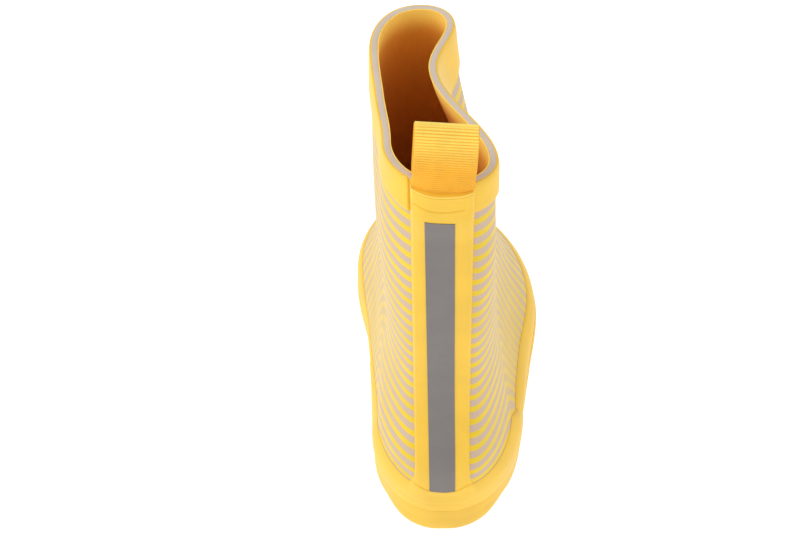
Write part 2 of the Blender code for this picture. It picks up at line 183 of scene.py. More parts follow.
# End and softness of the cover in half widths of the strip, the edge's climb against the counter's height,
# and where it climbs, in half widths
COVER_END = 1.2
COVER_EDGE = 0.2
COVER_RISE = 0.15
COVER_RISE_FROM = 0.5
COVER_RISE_OVER = 0.5

# Collar band: lower edge, thickness, thickness at the rim, height over which it thins, and half the height
# over which the strip climbs its lower edge
BAND_BOTTOM = 167.0
BAND_OUT = 1.15
BAND_TOP_OUT = 0.75
BAND_TAPER = 1.6
BAND_STEP = 0.7
BAND_TALL = COLLAR_TOP - BAND_BOTTOM
BAND_OUTLINE = [
    Corner(0.0, -HAIR, 0.0),
    Corner(0.0, BAND_OUT, 0.5),
    Corner(BAND_TALL - BAND_TAPER, BAND_OUT, 1.2),
    Corner(BAND_TALL, BAND_TOP_OUT, 0.25),
    Corner(BAND_TALL, -HAIR, 0.0),
]
# Where the band's lower edge hangs lower: place round the collar, reach and drop
BandDip = namedtuple("BandDip", "around reach drop")
BAND_DIPS = [
    BandDip(0.93, 0.05, 2.0),
    BandDip(0.33, 0.09, 5.0),
]
# Open seam of the band beside the strip: gap between them, half width, depth, and how far forward it may lie
SEAM_GAP = 0.35
SEAM_HALF = 0.32
SEAM_DEPTH = 1.0
SEAM_WITHIN = 44.5
# Places round the collar between which stations crowd together for the seam, and their number
SEAM_STATIONS = (0.92, 0.98, 140)
# Cut rim: distance off the skin, height over the collar, depth below it, rounding, and drop of the wall's top
RIM_OUT = 0.15
RIM_STAND = 0.12
RIM_DEPTH = 0.85
RIM_ROUND = 0.3
WALL_DROP = 0.9

# Back strip: ends, half width, x of its middle at foot and top, thickness, crown, how far its edges and its
# back are sunk, and width of its rounded edge
STRIP_BOTTOM = 18.9
STRIP_TOP = 178.2
STRIP_HALF = 10.4
STRIP_SHIFT_LOW = -0.1
STRIP_SHIFT_HIGH = -2.9
STRIP_THICK = 1.0
STRIP_CROWN = 0.6
STRIP_SINK = 0.35
STRIP_BACK = 0.3
STRIP_EDGE = 0.8
# It widens at the foot, and climbs over the band and the webbing
STRIP_FLARE = 3.0
STRIP_FLARE_FROM = 21.5
STRIP_FLARE_REACH = 3.5
STRIP_RISE = 2.1
STRIP_RISE_FROM = 152.0
STRIP_RISE_TO = 168.0
# Its top hangs in a curve: depth, level of the middle, and where the curve sets in
STRIP_CURVE = 0.8
STRIP_CURVE_MIDDLE = 0.6
STRIP_CURVE_FROM = 165.0
STRIP_CURVE_OVER = 13.0
# Rounding of the top edge: its height, and the shares of the thickness and of the height it starts at
TOP_ROUND = 0.6
TOP_KEEP = 0.6
TOP_START = 0.02
# Swelling below the top edge: size, distance down and reach
STRIP_LIP = 0.2
STRIP_LIP_DOWN = 0.9
STRIP_LIP_REACH = 0.7
# Lip along the top edge, in lighter rubber as a painted highlight: radius, distance down, how far it is sunk,
# its ends and softness in half widths
LIP_RADIUS = 0.26
LIP_DOWN = 0.2
LIP_SINK = 0.1
LIP_START = -0.98
LIP_END = 0.93
LIP_EASE = 0.06
# Line over the end of the webbing: height, curve, softness and size of the step, half width and depth
WEB_END = 171.0
WEB_END_CURVE = 2.0
WEB_END_SOFT = 0.6
WEB_END_STEP = 0.25
WEB_LINE_HALF = 0.38
WEB_LINE_DEPTH = 0.34
# Its ends and how softly it fades there, in half widths of the strip
WEB_LINE_LEFT = 0.97
WEB_LINE_LEFT_SOFT = 0.15
WEB_LINE_RIGHT = 0.75
WEB_LINE_RIGHT_SOFT = 0.2
# Rows of the strip crowd together above a height, and more so about the line
STRIP_FINE_FROM = 150.0
WEB_END_BELOW = 1.5
WEB_END_ABOVE = 3.5

# Reflective tape: top and its slant, x of its middle at the strip's foot, drift up the strip, thickness, how
# far it is sunk, start above the strip's foot and curve of its lower end
TAPE_TOP = 165.4
TAPE_SLANT = 0.06
TAPE_SHIFT_LOW = -0.05
TAPE_DRIFT = -0.024
TAPE_THICK = 0.22
TAPE_SINK = 0.1
TAPE_START = 0.9
TAPE_CURVE = 0.9

# Path of the webbing: distance from the skin, outward positive, and height
WebRow = namedtuple("WebRow", "out height")
WEB_PATH = [
    WebRow(1.9, 168.6),
    WebRow(1.9, 174.0),
    WebRow(1.9, 180.0),
    WebRow(2.9, 185.5),
    WebRow(3.5, 191.0),
    WebRow(3.0, 196.5),
    WebRow(1.4, 200.2),
    WebRow(-1.0, 201.5),
    WebRow(-3.6, 200.2),
    WebRow(-5.2, 196.5),
    WebRow(-5.7, 191.0),
    WebRow(-4.7, 185.5),
    WebRow(-3.1, 180.0),
    WebRow(-3.1, 173.0),
    WebRow(-3.1, 163.0),
]
WEB_WIDTH = 20.0
WEB_THICK = 0.66
WEB_SHIFT = -3.0
# Lean to the side up the loop, turn in plan, heights over which it comes straight across, and how far it is
# set in there
WEB_LEAN = 1.0
WEB_LEAN_FROM = 172.0
WEB_LEAN_OVER = 28.0
WEB_TURN = 0.09
WEB_STRAIGHT_FROM = 179.0
WEB_STRAIGHT_OVER = 14.0
WEB_SET_IN = 1.0
# Where the selvedge starts to thin, against the half width, and how much
SELVEDGE_FROM = 0.95
SELVEDGE_THIN = 0.75
# Ribs: radius against their pitch, share of it sunk in the web, reach against the half width, and sides
RIB_RADIUS = 0.44
RIB_SINK = 0.25
RIB_REACH = 0.98
RIB_SIDES = 8
BEAD_PITCH = 0.8
# Heights between which the yarn is painted lighter: painted light, brighter at the top of the loop
WEB_PAINTED_LIGHT_FROM = 186.0
WEB_PAINTED_LIGHT_TO = 202.0

# Side of the sole from its top edge to the floor: share of the way down, reach past the feather line at heel
# and at toe, and how much further it stands out at the very back
SoleRow = namedtuple("SoleRow", "down heel toe back")
SOLE_SIDE = [
    SoleRow(0.0, 1.2, 1.4, 0.0),
    SoleRow(0.0, 2.3, 2.4, 0.1),
    SoleRow(0.12, 2.3, 2.8, 0.4),
    SoleRow(0.36, 2.15, 2.9, 1.2),
    SoleRow(0.42, 2.05, 2.7, 1.35),
    SoleRow(0.48, 2.05, 2.7, 1.55),
    SoleRow(0.55, 2.1, 2.85, 1.8),
    SoleRow(0.80, 2.0, 2.6, 2.4),
    SoleRow(0.94, 1.5, 1.9, 2.5),
    SoleRow(1.0, 0.6, 0.9, 2.4),
]
# Length of the back's share, places over which the heel's reach becomes the toe's, trim of both ends, and
# share of the way down where the tread starts
SOLE_BACK_OVER = 14.0
WIDEN_FROM = 50.0
WIDEN_OVER = 60.0
END_TRIM = 0.002
TREAD_FROM = 0.75
# Heights of the underside: grooves and the bars' drafted sides, the arch, and the toe spring
BAR_RELIEF = 2.5
BAR_DRAFT = 0.8
ARCH_LIFT = 3.5
SPRING_START = 136.0
SPRING_END = 175.0
SPRING_LIFT = 6.0
# Bars of the tread from heel to toe; the first ones are the heel's, and the arch follows them
Bar = namedtuple("Bar", "start end")
BARS = [
    Bar(-5.0, 13.0),
    Bar(17.0, 28.0),
    Bar(32.0, 43.0),
    Bar(47.0, 58.0),
    Bar(82.0, 91.0),
    Bar(95.0, 104.0),
    Bar(108.0, 117.0),
    Bar(121.0, 130.0),
    Bar(134.0, 142.0),
    Bar(146.0, 154.0),
    Bar(158.0, 165.0),
    Bar(169.0, 190.0),
]
HEEL_BARS = 4
# Insole: the wall round it, gap to the wall, thickness, height of its side and gap under it, drop of the face
# inside its edge, and the heel's cup with its place and reach
WALL = 2.2
INSOLE_MARGIN = 1.5
INSOLE_THICK = 4.0
INSOLE_SIDE = 2.6
INSOLE_GAP = 0.1
INSOLE_EDGE = 0.9
CUP_DEPTH = 0.5
CUP_Y = 28.0
CUP_REACH = 22.0

# The print: stripes level round the leg, turning into arcs about a point low in the heel
STRIPE_FIRST = 34.48
ARC_CENTRE_Y = 16.7
# Heights between which the arcs give way to level stripes, and the share of their bend that stays
ARC_FADE = (70.0, 150.0)
ARC_KEEP = 0.25
# Down the foot the arcs crowd together: how much reach they gain, and between which places
ARC_GAIN = 20.0
ARC_GAIN_FROM = 40.0
ARC_GAIN_TO = 105.0
# Uneven run of the print's edge, and half its softness against the pitch
PRINT_WAVER = 0.24
PRINT_EDGE = 0.015
# Low on the ankle the print runs together: side, place in side view, lean in degrees from the floor, reach
# along and across, and how much of the contrast is lost
PrintFade = namedtuple("PrintFade", "side y z lean along across loss")
PRINT_FADES = [
    PrintFade(-1, 72.0, 36.0, -45.0, 55.0, 19.0, 0.92),
    PrintFade(1, 50.0, 50.0, -58.0, 34.0, 12.0, 0.75),
    PrintFade(1, 66.0, 29.0, 0.0, 26.0, 11.0, 0.85),
    PrintFade(1, 88.0, 42.0, -60.0, 28.0, 16.0, 0.35),
    PrintFade(-1, 110.0, 42.0, -47.0, 26.0, 14.0, 0.45),
]
# Distances from the boot's middle between which a fade sets in, and the share of grey where it is full
FADE_SIDE = (17.0, 20.0)
BLURRED_SHARE = 0.4

# Camera, in the boot's own frame
CAMERA_PLACE = (-16.3, -390.12, 525.01)
CAMERA_DOWN = 44.5
CAMERA_LENS = 74.25
CAMERA_SENSOR = 36.0
# Floor and dome: half the floor's side in metres, and their strengths
FLOOR_HALF = 4.0
FLOOR_GLOW = 0.9
DOME_LIGHT = 0.7

# Soft lights: place and size in metres, power in watts, and the point they face
Lamp = namedtuple("Lamp", "name place size power")
LAMPS = [
    Lamp("key_panel", (-1.1, -0.25, 0.9), 0.9, 7.0),
    Lamp("side_panel", (1.1, -0.3, 0.6), 0.9, 2.2),
    Lamp("back_panel", (-0.2, 0.9, 1.2), 0.8, 1.5),
]
LAMP_TARGET = (0.0, 0.0, 0.09)


def paint(red, green, blue):
    """Linear colour from a display colour in 0 to 255."""
    shares = [c / 255 for c in (red, green, blue)]
    return tuple(c / 12.92 if c <= 0.04045 else ((c + 0.055) / 1.055) ** 2.4 for c in shares)


def size_property(name, description, millimetres):
    """Property for a length."""
    return bpy.props.FloatProperty(name=name, description=description, default=millimetres * MILLIMETRE,
                                   unit="LENGTH", precision=5, min=0.0)


def colour_property(name, description, colour):
    """Property for a linear colour."""
    return bpy.props.FloatVectorProperty(name=name, description=description, default=colour,
                                         subtype="COLOR", size=3, min=0.0, max=1.0)


class BootSizes(bpy.types.PropertyGroup):
    """Sizes of the finish"""
    core: size_property("Rubber wall", "Thickness of the rubber at the cut rim", 1.9)
    lining: size_property("Lining", "Thickness of the knitted lining", 0.4)
    tape: size_property("Tape width", "Width of the reflective tape", 9.8)
    stripe: size_property("Stripe pitch", "Distance from one printed stripe to the next", 5.91)
    rib: size_property("Rib pitch", "Distance from one rib of the webbing to the next", 0.92)
    stripe_share: bpy.props.FloatProperty(name="Stripe share", description="Share of the pitch printed grey",
                                          default=0.55, min=0.0, max=1.0, subtype="FACTOR")


class BootColours(bpy.types.PropertyGroup):
    """Colours of the finish"""
    plain: colour_property("Plain rubber", "Collar band and back strip", paint(243, 196, 60))
    foxing: colour_property("Foxing", "Foxing and heel counter", paint(245, 200, 73))
    print_ground: colour_property("Printed rubber", "Ground of the striped leg", paint(232, 197, 18))
    print_grey: colour_property("Print", "Grey of the stripes", paint(201, 175, 153))
    # The lip's lighter colour is a painted highlight along the strip's top edge.
    lip: colour_property("Lip", "Worn lip at the top of the back strip", paint(252, 218, 104))
    sole: colour_property("Sole", "Moulded sole", paint(243, 197, 76))
    core: colour_property("Cut rim", "Cut edge of the rubber wall", paint(210, 194, 179))
    # The lining colour is its lit colour at the rim; the deeper colour is painted shade down in the boot, and
    # the lit colour also feeds its painted glow.
    lining: colour_property("Lining", "Knitted lining at the rim", paint(255, 218, 104))
    lining_painted_shade: colour_property("Lining, deep", "Knitted lining down in the boot", paint(243, 170, 64))
    footbed: colour_property("Footbed", "Knitted cover of the insole", paint(214, 158, 66))
    # Painted light and shade on the webbing: lighter at the top of the loop, darker and more orange at the
    # rim.
    webbing: colour_property("Webbing", "Yarn at the top of the pull loop", paint(255, 226, 104))
    webbing_painted_shade: colour_property("Webbing, low", "Yarn of the pull loop at the rim", paint(250, 188, 54))
    # The ground colour between the ribs holds painted shade in the grooves.
    webbing_ground_shade: colour_property("Webbing, ground", "Yarn between the ribs", paint(252, 178, 44))
    tape: colour_property("Tape", "Reflective tape", paint(123, 117, 114))
    floor: colour_property("Floor", "Studio floor", (0.4, 0.4, 0.4))


def sizes():
    return bpy.context.scene.boot_sizes


def colours():
    return bpy.context.scene.boot_colours


# Shape of the last

def smooth(t):
    """Soft step from 0 to 1."""
    t = np.clip(t, 0.0, 1.0)
    return t * t * (3 - 2 * t)


def bend(t, a, b, slope_a, slope_b):
    """Cubic from one value to another with a slope at each end."""
    return ((2 * t ** 3 - 3 * t ** 2 + 1) * a + (t ** 3 - 2 * t ** 2 + t) * slope_a
            + (3 * t ** 2 - 2 * t ** 3) * b + (t ** 3 - t ** 2) * slope_b)


def cubic(rows, place):
    """Smooth values at places along a list of number rows."""
    rows = np.array(rows, float)
    last = len(rows) - 1
    place = np.clip(place, 0.0, last)
    i = np.minimum(place.astype(int), last - 1)
    here, after = rows[i], rows[i + 1]
    before, beyond = rows[np.maximum(i - 1, 0)], rows[np.minimum(i + 2, last)]
    slope_a = np.where((i > 0)[..., None], (after - before) / 2, after - here)
    slope_b = np.where((i + 2 <= last)[..., None], (beyond - here) / 2, after - here)
    return bend((place - i)[..., None], here, after, slope_a, slope_b)


def outline(row, outer, share):
    """Points of sections; share runs from 0 at the back to 1 in front, on the outer or the inner half."""
    length = row.y_front - row.y_back
    stations = [a + (b - a) * row.leg for a, b in zip(FOOT_STATIONS, LEG_STATIONS)]
    waist_y = np.where(outer, stations[0], stations[1]) * length
    ball_y = np.where(outer, stations[2], stations[3]) * length
    tip = np.where(outer, row.tip_out, row.tip_in)
    heel = np.where(outer, row.heel_out, -row.heel_in)
    waist = np.where(outer, row.waist_out, -row.waist_in)
    ball = np.where(outer, row.ball_out, -row.ball_in)
    heel_y = tip - row.blunt
    turn = np.clip(share / HEEL_SHARE, 0.0, 1.0) * math.pi / 2
    run = tip * (1 - np.cos(turn))
    back_y = (run ** BLUNT_POWER + row.blunt ** BLUNT_POWER) ** (1 / BLUNT_POWER) - row.blunt
    back_x = row.x_back + (heel - row.x_back) * np.sin(turn)
    turn = np.clip((1 - share) / (1 - TOE_SHARE), 0.0, 1.0) * math.pi / 2
    front_y = ball_y + (length - ball_y) * np.cos(turn)
    toe_point = np.where(outer, *TOE_POINTS)
    point = toe_point + (COLLAR_POINT - toe_point) * row.leg
    front_x = row.x_front + (ball - row.x_front) * np.sin(turn) ** point
    side_y = heel_y + (ball_y - heel_y) * np.clip((share - HEEL_SHARE) / (TOE_SHARE - HEEL_SHARE), 0.0, 1.0)
    slope = (ball - heel) / (ball_y - heel_y)
    rear, fore = waist_y - heel_y, ball_y - waist_y
    side_x = np.where(side_y < waist_y,
                      bend((side_y - heel_y) / rear, heel, waist, 0.0, slope * rear),
                      bend((side_y - waist_y) / fore, waist, ball, slope * fore, 0.0))
    at_back, at_front = share <= HEEL_SHARE, share >= TOE_SHARE
    x = np.where(at_back, back_x, np.where(at_front, front_x, side_x))
    y = np.where(at_back, back_y, np.where(at_front, front_y, side_y))
    lift = np.maximum(y / length, 0.0) ** (3 - 2 * row.leg)
    return np.stack((x, y + row.y_back, row.z_back + (row.z_front - row.z_back) * lift), -1)


def skin(level, around):
    """Outer face of the upper. Around runs 0 at the back, over the outer side to 0.5 in front, back to 1."""
    level, around = np.broadcast_arrays(np.asarray(level, float), np.asarray(around, float) % 1.0)
    outer = around <= 0.5
    share = np.where(outer, 2 * around, 2 * (1 - around))
    row = Section(*np.moveaxis(cubic(SECTIONS, level * (len(SECTIONS) - 1)), -1, 0))
    point = outline(row, outer, share)
    for fold in FOLDS:
        down = np.minimum((point[..., 2] - fold.z_mid) / fold.z_reach, 0.0)
        along = (point[..., 1] - fold.y_mid) / fold.y_reach
        press = fold.depth * np.exp(-down ** 2 - along ** 2) * np.sqrt(np.sin(np.pi * share).clip(0.0))
        point[..., 0] -= np.where(outer, press, 0.0)
    return point


def crease_rise(point):
    """How far the creases lift points of the skin."""
    x, y, z = np.moveaxis(point, -1, 0)
    rise = np.zeros_like(x)
    for crease in CREASES:
        lean = math.radians(crease.lean)
        along = (y - crease.y) * math.cos(lean) + (z - crease.z) * math.sin(lean)
        across = (z - crease.z) * math.cos(lean) - (y - crease.y) * math.sin(lean)
        side = smooth((crease.side * x + CREASE_FADE) / (2 * CREASE_FADE)) if crease.side else 1.0
        rise += side * crease.rise * np.exp(-(along / crease.along) ** 2 - (across / crease.across) ** 2)
    return rise


def off_skin(level, around, distance):
    """Points off the creased skin; towards the feather line and the collar they are moved level."""
    level, around, distance = np.broadcast_arrays(*[np.asarray(v, float) for v in (level, around, distance)])
    across = skin(level, around + PROBE) - skin(level, around - PROBE)
    upward = skin(np.minimum(level + PROBE, 1.0), around) - skin(np.maximum(level - PROBE, 0.0), around)
    normal = np.cross(across, upward)
    normal /= np.linalg.norm(normal, axis=-1, keepdims=True)
    normal[..., 2] *= smooth(np.minimum(level, 1.0 - level) / LEVEL_NEAR)
    normal /= np.linalg.norm(normal, axis=-1, keepdims=True)
    point = skin(level, around)
    return point + normal * (distance + crease_rise(point))[..., None]


def level_at(around, height):
    """Levels of the skin at heights, found by halving; 1 from the collar up."""
    around, height = np.broadcast_arrays(np.asarray(around, float), np.asarray(height, float))
    low = np.zeros(around.shape)
    high = np.ones(around.shape)
    for _ in range(26):
        middle = (low + high) / 2
        under = skin(middle, around)[..., 2] < height
        low = np.where(under, middle, low)
        high = np.where(under, high, middle)
    return np.where(high > 0.99999, 1.0, low)


def wall_point(around, height, distance):
    """Points on the wall at a height; above the collar they stand straight over it."""
    point = off_skin(level_at(around, height), around, distance)
    point[..., 2] += np.maximum(height - COLLAR_TOP, 0.0)
    return point


def around_at_y(outer, y):
    """Place round the feather line for a given y."""
    turn = np.linspace(0.0, 0.5, 2001)
    around = turn if outer else 1.0 - turn
    return float(np.interp(y, skin(0.0, around)[..., 1], around))


def back_point(height, x, distance):
    """Points at the back, a distance off the skin, that end up at the given x."""
    height, x, distance = np.broadcast_arrays(*[np.asarray(v, float) for v in (height, x, distance)])
    level = level_at(np.zeros(height.shape), height)
    row = Section(*np.moveaxis(cubic(SECTIONS, level * (len(SECTIONS) - 1)), -1, 0))
    foot = x.copy()
    for _ in range(6):
        outer = foot >= row.x_back
        half = np.where(outer, row.heel_out - row.x_back, row.heel_in + row.x_back)
        turn = np.arcsin(np.minimum(np.abs(foot - row.x_back) / half, 1.0)) / (math.pi / 2)
        around = turn * HEEL_SHARE / 2 * np.where(outer, 1.0, -1.0)
        point = off_skin(level, around, distance)
        foot += (x - point[..., 0]) * 0.8
    return point


def rounded(corners, steps=4):
    """Closed outline of (height, out) points with its corners turned into short curves."""
    points = np.array([(c.height, c.out) for c in corners])
    made = []
    for i, corner in enumerate(corners):
        here = points[i]
        if corner.round <= 0.0:
            made.append(here)
            continue
        ends = []
        for other in (points[i - 1], points[(i + 1) % len(points)]):
            way = other - here
            reach = np.linalg.norm(way)
            ends.append(here + way / reach * min(corner.round, reach / 2))
        for t in np.linspace(0.0, 1.0, steps + 1):
            made.append((1 - t) ** 2 * ends[0] + 2 * t * (1 - t) * here + t ** 2 * ends[1])
    return np.array(made)


def filled(outline_points, longest):
    """Closed outline with points added where two lie further apart than the longest step."""
    made = []
    for here, ahead in zip(outline_points, np.roll(outline_points, -1, 0)):
        count = max(1, math.ceil(np.linalg.norm(ahead - here) / longest))
        made += [here + (ahead - here) * i / count for i in range(count)]
    return np.array(made)


# Meshes

def end_faces(first, count, rungs):
    """Faces closing a ring: strips between opposite points for a number of rungs, then one face."""
    last = first + count - 1
    made = [[first + k, first + k + 1, last - k - 1, last - k] for k in range(rungs)]
    return made + [list(range(first + rungs, last - rungs + 1))]


def loft(name, rings, closed, material, places=None, sharp=40.0, rungs=0):
    """Piece through rings of points; places holds a flat position for each point, in millimetres."""
    stations, count = rings.shape[:2]
    spans = stations if closed else stations - 1
    j, k = [v.ravel() for v in np.meshgrid(np.arange(spans), np.arange(count), indexing="ij")]
    ahead, over = (j + 1) % stations, (k + 1) % count
    faces = np.stack((j * count + k, j * count + over, ahead * count + over, ahead * count + k), -1)
    points = (rings.reshape(-1, 3) - SHIFT) * MILLIMETRE
    a, b, c, d = [points[faces[:, i]] for i in range(4)]
    volume = np.einsum("ij,ij->", a, np.cross(b, c)) + np.einsum("ij,ij->", a, np.cross(c, d))
    caps = []
    if not closed:
        caps = [cap[::-1] for cap in end_faces(0, count, rungs)]
        caps += end_faces((stations - 1) * count, count, rungs)
    order = 1 if volume > 0 else -1
    mesh = bpy.data.meshes.new(name)
    mesh.from_pydata(points.tolist(), [], faces[:, ::order].tolist() + [cap[::order] for cap in caps])
    if places is not None:
        flat = np.zeros((len(mesh.loops), 2), np.float32)
        corners = np.stack((places[j, k], places[j, k + 1], places[j + 1, k + 1], places[j + 1, k]), 1)
        flat[:len(faces) * 4] = corners[:, ::order].reshape(-1, 2) * MILLIMETRE
        mesh.uv_layers.new(name="place").data.foreach_set("uv", flat.ravel())
    mesh.shade_smooth()
    mesh.set_sharp_from_angle(angle=math.radians(sharp))
    mesh.materials.append(material)
    mesh.validate()
    return show(bpy.data.objects.new(name, mesh))


def show(piece):
    """Puts an object in the scene."""
    bpy.context.scene.collection.objects.link(piece)
    return piece


def settle(piece, node):
    """Lets a piece ride on the boot's one body in place of a solid."""
    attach(piece, "root")
    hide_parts(node)


def run_length(points):
    """Distance along a row of points from its start."""
    steps = np.linalg.norm(np.diff(points, axis=0), axis=-1)
    return np.concatenate(([0.0], np.cumsum(steps)))


# Materials

def lay(tree, kind, inputs=None, **settings):
    """Adds a node, with its settings and its inputs as values or links."""
    made = tree.nodes.new(kind)
    for name, value in settings.items():
        setattr(made, name, value)
    for key, value in (inputs or {}).items():
        if isinstance(value, bpy.types.NodeSocket):
            tree.links.new(value, made.inputs[key])
        else:
            made.inputs[key].default_value = value
    return made


def work(tree, operation, *values):
    """Output of a math node."""
    return lay(tree, "ShaderNodeMath", dict(enumerate(values)), operation=operation).outputs[0]


def ramp(tree, value, low, high, to_low=0.0, to_high=1.0):
    """Output of a smooth step from one value to another."""
    made = lay(tree, "ShaderNodeMapRange", {"Value": value, "From Min": low, "From Max": high,
                                            "To Min": to_low, "To Max": to_high},
               interpolation_type="SMOOTHSTEP")
    return made.outputs["Result"]


def mixed(tree, factor, a, b, blend="MIX"):
    """Output of a colour mix."""
    made = lay(tree, "ShaderNodeMix", data_type="RGBA", blend_type=blend)
    for index, value in ((0, factor), (6, a), (7, b)):
        if isinstance(value, bpy.types.NodeSocket):
            tree.links.new(value, made.inputs[index])
        else:
            made.inputs[index].default_value = value
    return made.outputs[2]


def noise(tree, vector, scale, detail=2.0, rough=0.5):
    """Output of a noise texture."""
    made = lay(tree, "ShaderNodeTexNoise", {"Vector": vector, "Scale": scale, "Detail": detail,
                                            "Roughness": rough})
    return made.outputs["Fac"]


def new_group(name, inputs, outputs):
    """Shader node group with named sockets, and its input and output nodes."""
    tree = bpy.data.node_groups.new(name, "ShaderNodeTree")
    for label, kind, default in inputs:
        socket = tree.interface.new_socket(label, in_out="INPUT", socket_type=kind)
        if default is not None:
            socket.default_value = default
    for label, kind in outputs:
        tree.interface.new_socket(label, in_out="OUTPUT", socket_type=kind)
    return tree, lay(tree, "NodeGroupInput"), lay(tree, "NodeGroupOutput")


def grain_group():
    """Skin of moulded rubber: fine grain, slow swell and faint clouds of tone, on object coordinates."""
    tree, given, out = new_group(
        "rubber_grain",
        [("Grain Size", "NodeSocketFloat", 0.6), ("Swell Size", "NodeSocketFloat", 14.0)],
        [("Height", "NodeSocketFloat"), ("Cloud", "NodeSocketFloat"), ("Speck", "NodeSocketFloat")])
    place = lay(tree, "ShaderNodeTexCoord").outputs["Object"]
    grain = noise(tree, place, work(tree, "DIVIDE", METRE, given.outputs["Grain Size"]), 3.0, 0.6)
    swell = noise(tree, place, work(tree, "DIVIDE", METRE, given.outputs["Swell Size"]), 2.0, 0.5)
    speck = noise(tree, place, 2300.0, 1.0, 0.5)
    height = work(tree, "MULTIPLY_ADD", swell, 4.0, grain)
    tree.links.new(height, out.inputs["Height"])
    tree.links.new(swell, out.inputs["Cloud"])
    tree.links.new(speck, out.inputs["Speck"])
    return tree


def weave_group():
    """Over and under of two sets of yarns on a flat position in metres."""
    tree, given, out = new_group(
        "yarn_weave",
        [("Place", "NodeSocketVector", None), ("Across Pitch", "NodeSocketFloat", 0.6),
         ("Along Pitch", "NodeSocketFloat", 0.6)],
        [("Height", "NodeSocketFloat"), ("Gap", "NodeSocketFloat")])
    parts = lay(tree, "ShaderNodeSeparateXYZ", {0: given.outputs["Place"]})
    waves = []
    for axis, pitch in (("X", "Across Pitch"), ("Y", "Along Pitch")):
        width = work(tree, "MULTIPLY", given.outputs[pitch], MILLIMETRE)
        turns = work(tree, "DIVIDE", parts.outputs[axis], width)
        waves.append(work(tree, "SINE", work(tree, "MULTIPLY", turns, math.pi)))
    product = work(tree, "MULTIPLY", *waves)
    height = work(tree, "MULTIPLY_ADD", product, 0.5, 0.5)
    ridge = work(tree, "MULTIPLY", work(tree, "ABSOLUTE", waves[0]), work(tree, "ABSOLUTE", waves[1]))
    tree.links.new(height, out.inputs["Height"])
    tree.links.new(ramp(tree, ridge, 0.0, 0.5, 1.0, 0.0), out.inputs["Gap"])
    return tree


def shared_group(name, maker):
    """Node group by its name, made the first time it is asked for."""
    return bpy.data.node_groups.get(name) or maker()


def use_grain(tree, grain_size=0.6, swell_size=14.0):
    """Outputs of the rubber grain placed in a material."""
    made = lay(tree, "ShaderNodeGroup", node_tree=shared_group("rubber_grain", grain_group))
    made.inputs["Grain Size"].default_value = grain_size
    made.inputs["Swell Size"].default_value = swell_size
    return made.outputs


def use_weave(tree, across, along):
    """Outputs of the weave placed in a material, on the piece's flat positions."""
    made = lay(tree, "ShaderNodeGroup", node_tree=shared_group("yarn_weave", weave_group))
    tree.links.new(lay(tree, "ShaderNodeUVMap", uv_map="place").outputs["UV"], made.inputs["Place"])
    made.inputs["Across Pitch"].default_value = across
    made.inputs["Along Pitch"].default_value = along
    return made.outputs


def new_material(name):
    """Material with its nodes and shader, or the one already made and nothing else."""
    made = bpy.data.materials.get(name)
    if made:
        return made, None, None
    made = bpy.data.materials.new(name)
    made.use_nodes = True
    return made, made.node_tree, made.node_tree.nodes["Principled BSDF"]


def bump(tree, shader, height, strength, distance):
    """Feeds a height to a shader's normal; the distance is in millimetres."""
    made = lay(tree, "ShaderNodeBump", {"Height": height, "Strength": strength,
                                        "Distance": distance * MILLIMETRE})
    tree.links.new(made.outputs["Normal"], shader.inputs["Normal"])


def tint(colour, factor):
    """Opaque colour made lighter or darker."""
    return (*[min(c * factor, 1.0) for c in colour], 1.0)


def rubber_material(name, colour, grain_size, relief, rough):
    """Plain moulded rubber: satin, faintly cloudy, with fine darker specks."""
    made, tree, shader = new_material(name)
    if tree is None:
        return made
    skin_look = use_grain(tree, grain_size)
    cloudy = mixed(tree, ramp(tree, skin_look["Cloud"], 0.3, 0.7), tint(colour, 0.96), tint(colour, 1.03))
    speckled = mixed(tree, ramp(tree, skin_look["Speck"], 0.62, 0.78, 0.0, 0.35), cloudy, tint(colour, 0.88))
    tree.links.new(speckled, shader.inputs["Base Color"])
    roughness = ramp(tree, skin_look["Cloud"], 0.25, 0.75, rough - 0.05, rough + 0.06)
    tree.links.new(roughness, shader.inputs["Roughness"])
    shader.inputs["Specular IOR Level"].default_value = 0.35
    bump(tree, shader, skin_look["Height"], 0.5, relief)
    return made


def fade_spot(tree, parts, fade):
    """How far the print has run together: a soft spot on one side of the boot."""
    lean = math.radians(fade.lean)
    forward = work(tree, "MULTIPLY_ADD", parts.outputs["Y"], METRE, SHIFT[1] - fade.y)
    upward = work(tree, "MULTIPLY_ADD", parts.outputs["Z"], METRE, -fade.z)
    total = None
    for a, b, reach in ((math.cos(lean), math.sin(lean), fade.along),
                        (-math.sin(lean), math.cos(lean), fade.across)):
        way = work(tree, "ADD", work(tree, "MULTIPLY", forward, a / reach),
                   work(tree, "MULTIPLY", upward, b / reach))
        square = work(tree, "MULTIPLY", way, way)
        total = square if total is None else work(tree, "ADD", total, square)
    spot = work(tree, "EXPONENT", work(tree, "MULTIPLY", total, -1.0))
    across = work(tree, "MULTIPLY_ADD", parts.outputs["X"], fade.side * METRE, fade.side * SHIFT[0])
    return work(tree, "MULTIPLY", spot, ramp(tree, across, *FADE_SIDE, 0.0, fade.loss))


